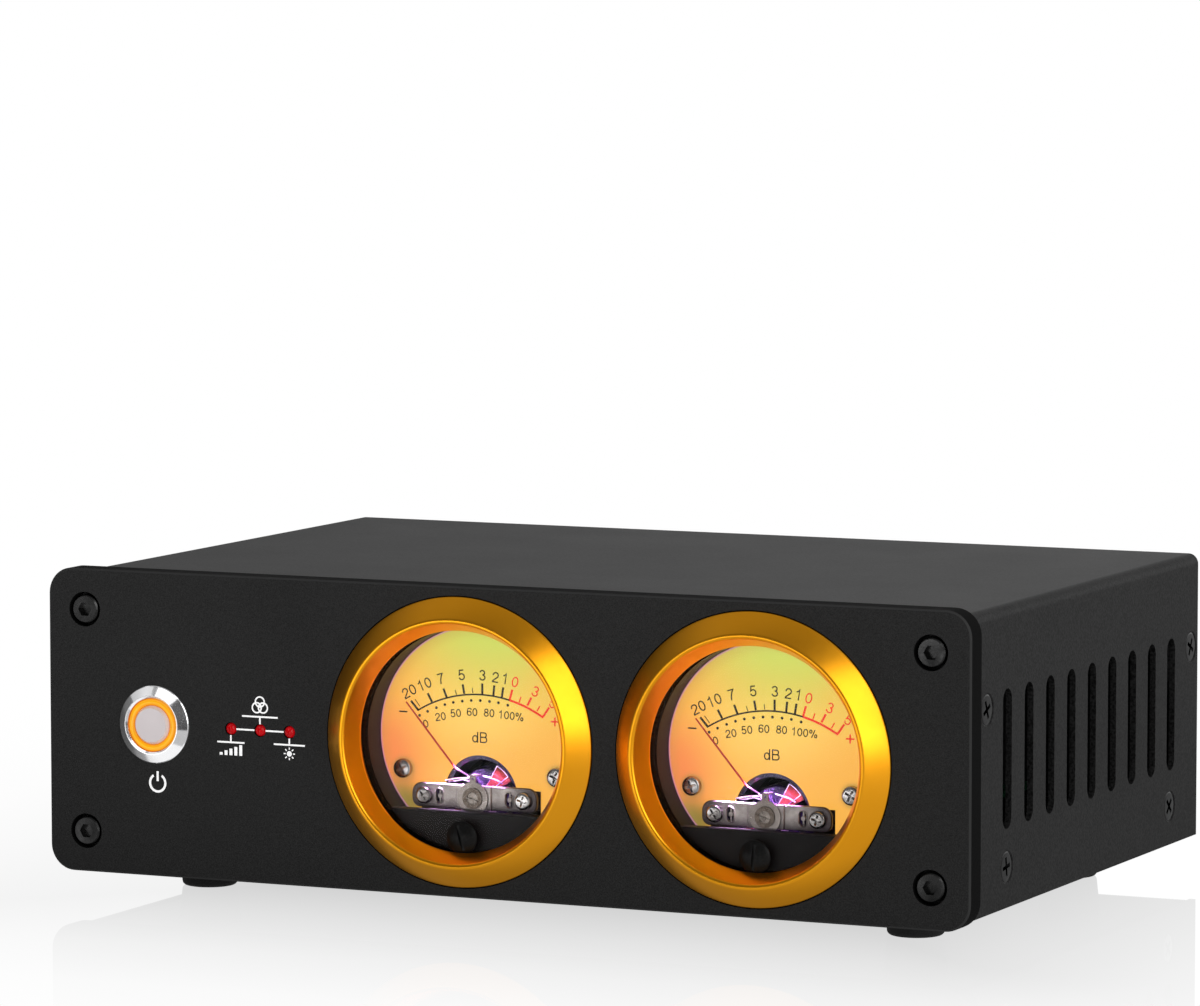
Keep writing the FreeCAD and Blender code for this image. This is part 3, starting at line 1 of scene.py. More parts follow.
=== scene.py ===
import math
from functools import partial

import bmesh
import bpy
from mathutils import Matrix, Vector


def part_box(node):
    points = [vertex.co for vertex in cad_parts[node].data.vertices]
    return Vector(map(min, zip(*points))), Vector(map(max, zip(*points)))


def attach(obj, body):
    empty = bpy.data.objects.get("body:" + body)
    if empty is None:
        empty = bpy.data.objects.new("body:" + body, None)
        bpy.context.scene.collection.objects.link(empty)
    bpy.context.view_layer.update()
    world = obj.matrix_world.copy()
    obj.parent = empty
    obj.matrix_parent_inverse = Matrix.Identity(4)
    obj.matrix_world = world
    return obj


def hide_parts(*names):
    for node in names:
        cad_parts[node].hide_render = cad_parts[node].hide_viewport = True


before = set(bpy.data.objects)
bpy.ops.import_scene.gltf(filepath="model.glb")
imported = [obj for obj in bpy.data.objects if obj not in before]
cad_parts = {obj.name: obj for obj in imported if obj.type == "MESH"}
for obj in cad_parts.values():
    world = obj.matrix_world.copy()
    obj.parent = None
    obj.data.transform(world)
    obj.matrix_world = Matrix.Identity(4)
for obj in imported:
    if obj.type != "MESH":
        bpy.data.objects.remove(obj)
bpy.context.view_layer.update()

# ---- places, in millimetres, taken from the frame
MM = 0.001
X, Y, Z = range(3)
LOW, MIDDLE, HIGH = 0.0, 0.5, 1.0


def place_of(node, axis, share=MIDDLE):
    """Where the middle of a CAD node, or one of its ends, lies along an axis."""
    low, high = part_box(node)
    return round((low[axis] + (high[axis] - low[axis]) * share) / MM, 3)


PANEL_Y = place_of("front_panel", Y, LOW)       # front face of the panel
PANEL_LOW = place_of("front_panel", Z, LOW)     # its lower edge
METER_X = {side: place_of(side + "_bezel_ring", X) for side in ("left", "right")}
METER_Z = place_of("left_bezel_ring", Z)        # also the height of the button and the trimmers
PIVOT_Z = place_of("left_spindle", Z)           # axis of a pointer
DIAL_Y = place_of("left_dial_plate", Y, LOW)    # front face of a dial
BUTTON_X = place_of("power_button_bushing", X)
TRIMMER_X = [place_of(name + "_trimmer_shaft", X) for name in ("gain", "color", "light")]
COVER_X = place_of("top_cover", X, HIGH)        # outer face of the cover's right side
REAR_Y = place_of("rear_panel", Y, HIGH)
PHONO_X = place_of("rca_shells", X)             # between the two columns of sockets
POWER_SOCKET = (place_of("dc_socket", X), place_of("dc_socket", Z))

scene = bpy.context.scene
scene.view_settings.view_transform = "Standard"


# ---- node materials
def grey(value):
    return (value, value, value)


def from_front(x, z):
    """A place seen from the front, from millimetres to the metres of object coordinates."""
    return (x * MM, 0, z * MM)


class Wiring:
    """Short ways to add and join the nodes of one tree."""

    def __init__(self, tree):
        self.tree = tree

    def plug(self, source, socket):
        """Links an output into a socket, or sets the socket to a plain value."""
        if isinstance(source, bpy.types.NodeSocket):
            self.tree.links.new(source, socket)
        elif socket.type == "RGBA":
            socket.default_value = (*source, 1.0)
        else:
            socket.default_value = source

    def node(self, kind, *sources, **settings):
        """A new node whose first sockets take the given outputs and values."""
        made = self.tree.nodes.new("ShaderNode" + kind)
        for key, value in settings.items():
            setattr(made, key, value)
        for source, socket in zip(sources, made.inputs):
            self.plug(source, socket)
        return made

    def number(self, operation, *sources):
        return self.node("Math", *sources, operation=operation).outputs["Value"]

    def vector(self, operation, *sources):
        outputs = self.node("VectorMath", *sources, operation=operation).outputs
        return outputs["Value" if operation in ("LENGTH", "DISTANCE") else "Vector"]

    def parts(self, vector):
        return self.node("SeparateXYZ", vector).outputs

    def mixed(self, share, first, second):
        return self.node("MixShader", share, first, second).outputs[0]

    def emission(self, strength):
        return self.node("Emission", grey(1.0), strength).outputs[0]

    def range(self, value, low, high, to_low, to_high, smooth=False):
        kind = "SMOOTHSTEP" if smooth else "LINEAR"
        return self.node("MapRange", value, low, high, to_low, to_high, interpolation_type=kind).outputs[0]


class Look(Wiring):
    """A Principled material with short ways to wire noise into it."""

    def __init__(self, name, color, roughness, metallic=0.0, **sockets):
        self.name = name
        self.material = bpy.data.materials.new(name)
        self.material.use_nodes = True
        super().__init__(self.material.node_tree)
        self.shader = self.tree.nodes["Principled BSDF"]
        self.set("Base Color", color)
        self.set("Roughness", roughness)
        self.set("Metallic", metallic)
        for socket, value in sockets.items():
            self.set(socket.replace("_", " "), value)
        self.object_coordinates = None

    def set(self, socket, source):
        self.plug(source, self.shader.inputs[socket])

    def glow(self, color, strength):
        self.set("Emission Color", color)
        self.set("Emission Strength", strength)

    def show(self, shader):
        """Makes another shader the material's surface."""
        self.plug(shader, self.tree.nodes["Material Output"].inputs["Surface"])

    def coordinates(self, scale=(1, 1, 1)):
        """Object coordinates, in metres, scaled."""
        if self.object_coordinates is None:
            self.object_coordinates = self.node("TexCoord").outputs["Object"]
        mapping = self.node("Mapping", self.object_coordinates)
        mapping.inputs["Scale"].default_value = scale
        return mapping.outputs["Vector"]

    def noise(self, size, detail=2.0, stretch=(1, 1, 1)):
        """Noise whose grains are about as large as the size, in metres."""
        noise = self.node("TexNoise", self.coordinates(stretch))
        noise.inputs["Scale"].default_value = 1.0 / size
        noise.inputs["Detail"].default_value = detail
        return noise.outputs["Fac"]

    def ramp(self, value, stops):
        """Colours along a value, from (place, colour) stops."""
        ramp = self.node("ValToRGB", value)
        elements = ramp.color_ramp.elements
        while len(elements) < len(stops):
            elements.new(0.5)
        for element, (place, color) in zip(elements, stops):
            element.position = place
            element.color = (*color, 1.0)
        return ramp.outputs["Color"]

    def shades(self, value, dark, light, low=0.3, high=0.7):
        return self.ramp(value, [(low, dark), (high, light)])

    def tint(self, value, dark, light):
        """Colour that varies with a noise value."""
        self.set("Base Color", self.shades(value, dark, light, 0.35, 0.65))

    def rough(self, value, low, high):
        self.set("Roughness", self.range(value, 0.3, 0.7, low, high))

    def bump(self, value, height):
        """Relief of a height in metres."""
        bump = self.node("Bump")
        bump.inputs["Distance"].default_value = height
        self.plug(value, bump.inputs["Height"])
        self.set("Normal", bump.outputs["Normal"])

    def distance(self, point, axes=(1, 0, 1)):
        """Distance from a point, in metres, counted along the given axes only."""
        return self.vector("DISTANCE", self.coordinates(axes), [p * a for p, a in zip(point, axes)])

    def blend(self, share, first, second, kind="MIX"):
        """Mixes two colours or colour outputs by a share."""
        mix = self.node("Mix", data_type="RGBA", blend_type=kind)
        for index, source in ((0, share), (6, first), (7, second)):
            self.plug(source, mix.inputs[index])
        return mix.outputs[2]


def grained(name, dark, light, grain, height, rough, **sockets):
    """A surface whose colour and relief vary with one grain, and whose gloss drifts with a broad cloud."""
    look = Look(name, light, rough, **sockets)
    fine = look.noise(grain, 3.0)
    look.tint(fine, dark, light)
    look.rough(look.noise(grain * 40), rough * 0.98, rough * 1.02)
    look.bump(fine, height)
    return look


def streaked(look, rough, streak=(1, 1, 1), size=0.0004, height=0.000004):
    """Gives a metal the gloss and relief of fine drawn or turned lines."""
    lines = look.noise(size, 3.0, streak)
    look.rough(lines, rough * 0.85, rough * 1.2)
    look.bump(lines, height)


def metal(name, dark, light, rough, streak=(1, 1, 1), size=0.0004, height=0.000004):
    """A metal with fine lines and a cloudy colour."""
    look = Look(name, light, rough, 1.0)
    streaked(look, rough, streak, size, height)
    look.tint(look.noise(size * 12), dark, light)
    return look


def satin(name, dark, light, rough, metallic=1.0, **sockets):
    """A smooth metal whose colour and gloss only drift a little."""
    look = Look(name, light, rough, metallic, **sockets)
    look.tint(look.noise(0.012), dark, light)
    look.rough(look.noise(0.0012), rough * 0.95, rough * 1.05)
    return look


DIAL_AMBER = (0.97, 0.475, 0.078)
# light behind a dial: x from the meter's middle, z, stretch along x, full out to, gone at (in metres), colour
DIAL_CLOUDS = [
    (0.0, 39.5, 0.55, 0.002, 0.011, (1.0, 0.61, 0.125)),
    (-21.5, 29.0, 1.1, 0.003, 0.017, (0.96, 0.255, 0.072)),
    (3.0, 58.5, 0.75, 0.004, 0.023, (0.62, 0.71, 0.125)),
    (17.5, 44.0, 1, 0.001, 0.010, (0.88, 0.57, 0.10)),
    (-16.5, 19.5, 1.2, 0.002, 0.0082, (0.19, 0.18, 0.035)),
]


def dial_glow(name, middle):
    """Translucent dial, lit from behind by coloured light that flows together."""
    look = Look(name, (0.10, 0.07, 0.03), 0.45, Specular_IOR_Level=0.2)
    color = DIAL_AMBER
    for x, z, stretch, full, gone, cloud in DIAL_CLOUDS:
        away = look.distance(from_front(middle + x, z), (stretch, 0, 1))
        color = look.blend(look.range(away, full, gone, 1, 0, True), color, cloud)
    # the dial dims a little towards its edge, which catches stray violet light
    out = look.distance(from_front(middle, METER_Z))
    color = look.blend(look.range(out, 0.0178, 0.0209, 0, 0.35, True), color, (0.50, 0.27, 0.06))
    color = look.blend(look.range(out, 0.0205, 0.0208, 0, 0.7), color, (0.50, 0.16, 0.42))
    # soft shade round the two screws
    for way in (-1, 1):
        shade = look.distance(from_front(middle + way * 16.0, METER_Z - 6.9))
        color = look.blend(look.range(shade, 0.0016, 0.0031, 0.6, 0, True), color, (0.30, 0.20, 0.06))
    look.glow(color, 0.955)
    look.bump(look.noise(0.0002), 0.000003)
    return look


def pointer_paint_and_glow(name, middle):
    """Red paint on the blade, bare metal near the hub, and a painted glow on both."""
    look = Look(name, (0.5, 0.02, 0.015), 0.35)
    out = look.distance(from_front(middle, PIVOT_Z))
    share = look.range(out, 0.0062, 0.0072, 0, 1)
    grain = look.shades(look.noise(0.0004), (0.34, 0.008, 0.005), (0.48, 0.018, 0.012))
    look.set("Base Color", look.blend(share, (0.62, 0.5, 0.52), grain))
    look.set("Metallic", look.range(out, 0.0062, 0.0072, 1, 0))
    # painted glow: red on the blade, a faint violet on the bare hub
    look.glow(look.blend(share, (0.02, 0.005, 0.03), (0.27, 0.010, 0.005)), 0.5)
    return look


def jack_colors():
    """White insulators in one column of sockets and red ones in the other, as phono sockets are marked."""
    look = Look("jack_insulator", (0.8, 0.8, 0.78), 0.3)
    split = PHONO_X * MM
    side = look.range(look.parts(look.coordinates())["X"], split - 0.0001, split + 0.0001, 0, 1)
    grain = look.noise(0.0008)
    white = look.shades(grain, (0.72, 0.72, 0.70), (0.82, 0.82, 0.80))
    red = look.shades(grain, (0.50, 0.012, 0.012), (0.62, 0.02, 0.02))
    look.set("Base Color", look.blend(side, white, red))
    look.bump(grain, 0.000004)
    return look


def red_plastic():
    """Clear red plastic with a faint painted glow, as from a lamp behind it."""
    look = Look("red_plastic", (0.7, 0.004, 0.01), 0.14, Specular_IOR_Level=0.2)
    cloud = look.noise(0.0015)
    look.tint(cloud, (0.42, 0.001, 0.003), (0.62, 0.003, 0.006))
    look.rough(look.noise(0.0003), 0.12, 0.18)
    # painted glow, in the cloudy red of the plastic
    look.glow(look.shades(cloud, (0.30, 0.0, 0.003), (0.50, 0.002, 0.006)), 0.3)
    return look


def panel_finish_and_shade():
    """Bead-blasted black anodising, with a bright cut edge round its front that is partly a painted
    highlight, and a deep black rim that is painted shade.
    """
    look = Look("black_anodised", grey(0.03), 0.5, Specular_IOR_Level=0.12)
    fine = look.noise(0.00020)
    facing = look.parts(look.node("NewGeometry").outputs["True Normal"])["Y"]
    front = look.shades(fine, grey(0.012), grey(0.031))
    # painted highlight: faces turned a little from the front, the cut edge, are lighter
    color = look.blend(look.range(facing, -0.97, -0.93, 0, 1), front, grey(0.038))
    # painted shade: faces turned away from the front, its top, bottom and sides, go near black
    color = look.blend(look.range(facing, -0.35, -0.25, 0, 1), color, grey(0.002))
    look.set("Base Color", color)
    look.set("Roughness", look.range(facing, -0.35, -0.25, 0.5, 0.95))
    look.bump(fine, 0.000020)
    return look


def clear_window():
    """Thin clear acrylic: seen through, with a faint reflection that grows at a glancing angle."""
    look = Look("clear_window", grey(0.9), 0.03, 1.0, IOR=1.49)
    look.rough(look.noise(0.004), 0.02, 0.05)
    coated = look.number("MULTIPLY", look.node("Fresnel", 1.49).outputs["Fac"], 0.06)
    look.show(look.mixed(coated, look.node("BsdfTransparent").outputs[0], look.shader.outputs[0]))
    return look


def lamp_ring():
    """Amber ring lit from inside, brightest along its middle."""
    look = Look("button_amber", (0.45, 0.14, 0.0), 0.22)
    out = look.range(look.distance(from_front(BUTTON_X, METER_Z)), 0.0037, 0.00512, 0, 1)
    across = look.ramp(out, [(0.0, (0.60, 0.14, 0.0)), (0.22, (0.92, 0.38, 0.0)), (0.5, (1.0, 0.56, 0.0)),
                             (0.8, (0.95, 0.42, 0.0)), (1.0, (0.55, 0.13, 0.0))])
    drift = look.shades(look.noise(0.0035), (0.82, 0.80, 0.80), grey(1.0), 0.35, 0.65)
    look.glow(look.blend(1.0, across, drift, "MULTIPLY"), 0.78)
    return look


def jewel_look():
    """Slotted silvery screw in a darker bronze bush."""
    look = Look("jewel_look", (0.6, 0.5, 0.4), 0.3, 1.0)
    streaked(look, 0.3)
    nearest = look.number("MINIMUM", *(look.distance(from_front(x, PIVOT_Z)) for x in METER_X.values()))
    cloud = look.noise(0.0008)
    screw = look.shades(cloud, (0.16, 0.135, 0.12), (0.34, 0.30, 0.27))
    bush = look.shades(cloud, (0.09, 0.070, 0.058), (0.19, 0.155, 0.13))
    look.set("Base Color", look.blend(look.range(nearest, 0.00109, 0.00113, 0, 1), screw, bush))
    return look


def bridge_look(side):
    """Dull pressed metal, with painted shade towards its ends and along its lower edge."""
    look = Look(side + "_bridge_look", (0.80, 0.73, 0.69), 0.34, 1.0)
    streaked(look, 0.34, (0.1, 1, 1), 0.0003)
    out = look.distance(from_front(METER_X[side], PIVOT_Z), (1, 0, 0.35))
    cloud = look.shades(look.noise(0.0022, 3.0), (0.26, 0.225, 0.215), (0.50, 0.45, 0.43))
    # painted shade towards the ends of the plate
    ends = look.blend(look.range(out, 0.0060, 0.0120, 0.0, 0.88, True), cloud, (0.055, 0.042, 0.045))
    # painted shade along its lower edge
    below = look.distance(from_front(0, PIVOT_Z + BRIDGE_HIGH), (0, 0, 1))
    low = look.range(below, 0.0020, 0.0047, 0.0, 0.8, True)
    look.set("Base Color", look.blend(low, ends, (0.05, 0.038, 0.045)))
    return look


def ink(name, dark, light, height, glow_dark, glow_light, strength):
    """Print with a painted glow, which stands in for the light on it."""
    look = grained(name, dark, light, 0.0003, height, 0.5)
    look.glow(look.shades(look.noise(0.0006), glow_dark, glow_light), strength)
    return look


# the shared looks, by the names of the materials in the record
looks = {look.name: look for look in [
    panel_finish_and_shade(), red_plastic(), jack_colors(), clear_window(), lamp_ring(),
    grained("black_coat", grey(0.002), grey(0.020), 0.00045, 0.00003, 0.5, Specular_IOR_Level=0.145),
    grained("foot_rubber", grey(0.006), grey(0.014), 0.0003, 0.00002, 0.75),
    grained("board_green", (0.006, 0.06, 0.025), (0.012, 0.11, 0.045), 0.0009, 0.00001, 0.4),
    grained("board_white", (0.66, 0.66, 0.63), (0.80, 0.80, 0.77), 0.0008, 0.00001, 0.5),
    grained("capacitor_can", (0.012, 0.012, 0.03), (0.02, 0.02, 0.045), 0.002, 0.00001, 0.35),
    grained("chip_black", grey(0.012), grey(0.024), 0.0003, 0.00001, 0.6),
    grained("housing_black", (0.010, 0.010, 0.011), (0.022, 0.022, 0.023), 0.0005, 0.00001, 0.5),
    grained("case_black", (0.004, 0.003, 0.003), (0.009, 0.007, 0.007), 0.0006, 0.00001, 0.42,
            Specular_IOR_Level=0.16),
    grained("adjuster_black", grey(0.004), grey(0.009), 0.0004, 0.00001, 0.3, Specular_IOR_Level=0.16),
    satin("gold_anodised", (0.97, 0.395, 0.007), (1.0, 0.415, 0.010), 0.29, Coat_Weight=0.15,
          Coat_Roughness=0.3),
    satin("button_chrome", (0.88, 0.88, 0.90), (0.96, 0.96, 0.97), 0.12, 0.90),
    satin("button_steel", (0.78, 0.71, 0.72), (0.86, 0.79, 0.80), 0.45, 0.3),
    metal("black_screws", grey(0.022), grey(0.075), 0.28, size=0.0005, height=0.00001),
    metal("plain_steel", (0.42, 0.42, 0.44), (0.62, 0.61, 0.62), 0.27),
    metal("brass_parts", (0.40, 0.27, 0.14), (0.58, 0.42, 0.24), 0.3),
    metal("jack_plating", (0.62, 0.44, 0.16), (0.80, 0.60, 0.26), 0.25),
    metal("bridge_metal", (0.17, 0.15, 0.15), (0.30, 0.27, 0.26), 0.36, streak=(0.12, 1, 1)),
    metal("magnet_alloy", (0.035, 0.03, 0.06), (0.09, 0.08, 0.13), 0.3),
    metal("coil_copper", (0.26, 0.055, 0.035), (0.46, 0.12, 0.08), 0.35),
    metal("zero_arm", (0.20, 0.17, 0.155), (0.33, 0.29, 0.27), 0.3, size=0.0005, height=0.000002),
    metal("spring_bronze", (0.5, 0.28, 0.12), (0.66, 0.40, 0.20), 0.3),
]}


def look_of(node, recorded):
    """The look of a CAD node: its own, or the shared one that its recorded material names."""
    side = node.split("_")[0]
    if node.endswith("dial_plate"):
        return dial_glow(node + "_glow", METER_X[side])
    if node.endswith("_pointer"):
        return pointer_paint_and_glow(node + "_paint", METER_X[side])
    if node == "jewel_bearings":
        return jewel_look()
    if node.endswith("zero_fork"):
        return looks["zero_arm"]
    if node.endswith("pole_ring"):
        return looks["magnet_alloy"]
    return looks[recorded.split(".")[0]]


for node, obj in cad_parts.items():
    look = look_of(node, obj.material_slots[0].material.name)
    for slot in obj.material_slots:
        slot.material = look.material


def new_object(name, data):
    obj = bpy.data.objects.new(name, data)
    scene.collection.objects.link(obj)
    return obj


# ---- mesh tools, in millimetres
def add_piece(name, bm, look, body, slot, smooth=False, replaces=()):
    """Turns a bmesh made in millimetres into a piece that rides on a body."""
    if smooth:
        bmesh.ops.remove_doubles(bm, verts=bm.verts, dist=0.0005)
    bmesh.ops.scale(bm, vec=(MM, MM, MM), verts=bm.verts)
    bmesh.ops.recalc_face_normals(bm, faces=bm.faces)
    if smooth:
        for face in bm.faces:
            face.smooth = True
        for edge in bm.edges:
            edge.smooth = len(edge.link_faces) == 2 and edge.calc_face_angle(0) < math.radians(32)
    mesh = bpy.data.meshes.new(name)
    bm.to_mesh(mesh)
    bm.free()
    mesh.materials.append(look.material)
    obj = new_object(name, mesh)
    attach(obj, body)
    if replaces:
        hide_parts(*replaces)


def wall(bm, first, second):
    """Closes the band between two rings of as many vertices."""
    for index, vertex in enumerate(first):
        after = (index + 1) % len(first)
        bm.faces.new((vertex, first[after], second[after], second[index]))


def ring_edges(bm, ring):
    return [bm.edges.get(ends) for ends in zip(ring, ring[1:] + ring[:1])]


def around(x, z, radius, angle):
    """The (x, z) place at a radius and an angle, anticlockwise from the right, about another."""
    return x + radius * math.cos(angle), z + radius * math.sin(angle)


def ring_points(x, z, radius, steps=32):
    return [around(x, z, radius, math.tau * step / steps) for step in range(steps)]


def rounded(left, right, low, high, low_round, high_round, steps=8):
    """Anticlockwise outline of a box with rounded corners."""
    points = []
    for x, z, radius, start in ((right - high_round, high - high_round, high_round, 0),
                                (left + high_round, high - high_round, high_round, 90),
                                (left + low_round, low + low_round, low_round, 180),
                                (right - low_round, low + low_round, low_round, 270)):
        points += [around(x, z, radius, math.radians(start + 90 * i / steps)) for i in range(steps + 1)]
    return points


def turned(bm, x, z, outline, steps, y=PANEL_Y):
    """Turns a closed outline of (radius, depth behind y) about the line along y through (x, z)."""
    rings = []
    for step in range(steps):
        angle = math.tau * step / steps
        cos, sin = math.cos(angle), math.sin(angle)
        rings.append([bm.verts.new((x + r * cos, y + depth, z + r * sin)) for r, depth in outline])
    for here, there in zip(rings, rings[1:] + rings[:1]):
        for index in range(len(outline)):
            after = (index + 1) % len(outline)
            if outline[index][0] or outline[after][0]:
                bm.faces.new((here[index], here[after], there[after], there[index]))


def heading(start, end):
    """The direction from one (x, z) point to another."""
    return Vector((end[0] - start[0], end[1] - start[1])).normalized()


def beside(point, across, reach):
    """The point a reach away from another, along a direction."""
    return (point[0] + across.x * reach, point[1] + across.y * reach)


def moved_outline(points, reach):
    """An anticlockwise outline moved outwards by a reach, or inwards where it is negative."""
    moved = []
    for index, point in enumerate(points):
        first = heading(points[index - 1], point)
        second = heading(point, points[(index + 1) % len(points)])
        across = Vector((first.y + second.y, -first.x - second.x)).normalized()
        moved.append(beside(point, across, reach / max(0.4, across.dot(Vector((first.y, -first.x))))))
    return moved


def slab(bm, outline, holes, front, back, bevel):
    """A plate on anticlockwise outlines, with holes and bevelled front edges, between two depths."""
    front_edges, back_edges = [], []
    for points, way in [(outline, -1)] + [(hole, 1) for hole in holes]:
        layers = ((moved_outline(points, way * bevel), PANEL_Y + front), (points, PANEL_Y + front + bevel),
                  (points, PANEL_Y + back))
        top, shoulder, base = ([bm.verts.new((x, y, z)) for x, z in ring] for ring, y in layers)
        wall(bm, top, shoulder)
        wall(bm, shoulder, base)
        front_edges += ring_edges(bm, top)
        back_edges += ring_edges(bm, base)
    for edges in (front_edges, back_edges):
        bmesh.ops.triangle_fill(bm, edges=edges, use_beauty=True)


# rings of a screw's head, as (share of its radius, share of its height below the face)
PAN_HEAD = [(0.97, 1.0), (1.0, 0.9), (1.0, 0.45), (0.93, 0.17), (0.8, 0.03), (0.7, 0.0)]
FLAT_HEAD = [(0.55, 1.0), (0.99, 0.16), (0.975, 0.07), (0.90, 0.015), (0.84, 0.0)]


def crosshead(bm, x, z, radius, y_face, height, turn, shank=(0.9, 4.0), head=PAN_HEAD):
    """A screw with a cross recess, its face towards the front; the shank is (radius, length)."""
    rings = [
        [bm.verts.new((px, y_face + height * depth, pz)) for px, pz in ring_points(x, z, radius * share, 36)]
        for share, depth in head
    ]
    reach, half = radius * 0.62, radius * 0.13
    recess = []
    for scale, depth in ((1.0, 0.0), (0.82, 0.25), (0.5, 0.62)):
        arm, side = reach * scale, half * (0.4 + 0.6 * scale)
        level = []
        for quarter in range(4):
            angle = math.radians(turn + 90 * quarter)
            cos, sin = math.cos(angle), math.sin(angle)
            level += [bm.verts.new((x + u * cos - v * sin, y_face + height * depth, z + u * sin + v * cos))
                      for u, v in ((arm, -side), (arm, side), (side, side))]
        recess.append(level)
    bm.faces.new(rings[0])
    for levels in (rings, recess):
        for outer, inner in zip(levels, levels[1:]):
            wall(bm, outer, inner)
    bm.faces.new(recess[-1])
    bmesh.ops.triangle_fill(bm, edges=ring_edges(bm, rings[-1]) + ring_edges(bm, recess[0]), use_beauty=True)
    turned(bm, x, z, [(0, 0), (shank[0], 0), shank, (0, shank[1])], 24, y_face + height)


def tube(bm, points, radius, sides=6):
    """A thin round rod through a list of (x, y, z) points, of one radius or one for each point."""
    points = [Vector(point) for point in points]
    radii = radius if isinstance(radius, list) else [radius] * len(points)
    rings = []
    for index, point in enumerate(points):
        along = (points[min(index + 1, len(points) - 1)] - points[max(index - 1, 0)]).normalized()
        side = along.cross(Vector((0, 1, 0)))
        side = side.normalized() if side.length > 0.1 else along.cross(Vector((1, 0, 0))).normalized()
        other = along.cross(side)
        circle = ring_points(0, 0, 1, sides)
        rings.append([bm.verts.new(point + (side * u + other * v) * radii[index]) for u, v in circle])
    for here, there in zip(rings, rings[1:]):
        wall(bm, here, there)
    bm.faces.new(rings[0])
    bm.faces.new(rings[-1])


# ---- print tools
def oval(x, z, rx, rz, start=0, end=360):
    """Points along an oval, in degrees anticlockwise from the right; a whole turn closes."""
    steps = max(6, int(abs(end - start) / 15))
    angles = [math.radians(start + (end - start) * step / steps) for step in range(steps + 1)]
    return [(x + rx * math.cos(angle), z + rz * math.sin(angle)) for angle in angles]


# plain figures, one unit tall: the width of the place each takes, and the middle lines of its strokes
FIGURES = {
    "0": (0.78, [oval(0.39, 0.5, 0.27, 0.44)]),
    "1": (0.78, [[(0.15, 0.74), (0.30, 0.79), (0.43, 0.97), (0.43, 0.0)]]),
    "2": (0.78, [oval(0.38, 0.69, 0.26, 0.25, 185, -35) + [(0.13, 0.16), (0.11, 0.06), (0.67, 0.06)]]),
    "3": (0.78, [oval(0.37, 0.735, 0.23, 0.205, 172, -90), oval(0.38, 0.295, 0.265, 0.235, 90, -172)]),
    "5": (0.78, [[(0.62, 0.94), (0.22, 0.94), (0.15, 0.50)] + oval(0.38, 0.335, 0.265, 0.275, 138, -165)]),
    "6": (0.78, [oval(0.42, 0.70, 0.28, 0.24, 20, 150) + [(0.13, 0.55), (0.12, 0.33)],
                 oval(0.39, 0.32, 0.265, 0.26)]),
    "7": (0.78, [[(0.10, 0.94), (0.66, 0.94), (0.48, 0.68), (0.35, 0.35), (0.29, 0.0)]]),
    "8": (0.78, [oval(0.39, 0.745, 0.225, 0.195), oval(0.39, 0.29, 0.27, 0.23)]),
    "%": (1.25, [oval(0.28, 0.755, 0.15, 0.19), oval(0.96, 0.245, 0.15, 0.19), [(0.82, 1.0), (0.42, 0.0)]]),
    "d": (0.78, [oval(0.36, 0.35, 0.24, 0.29), [(0.62, 1.0), (0.62, 0.0)]]),
    "B": (0.93, [[(0.13, 0.0), (0.13, 0.94)] + oval(0.52, 0.735, 0.20, 0.205, 90, -90) + [(0.13, 0.53)],
                 [(0.13, 0.53)] + oval(0.53, 0.295, 0.235, 0.235, 90, -90) + [(0.13, 0.06)]]),
}


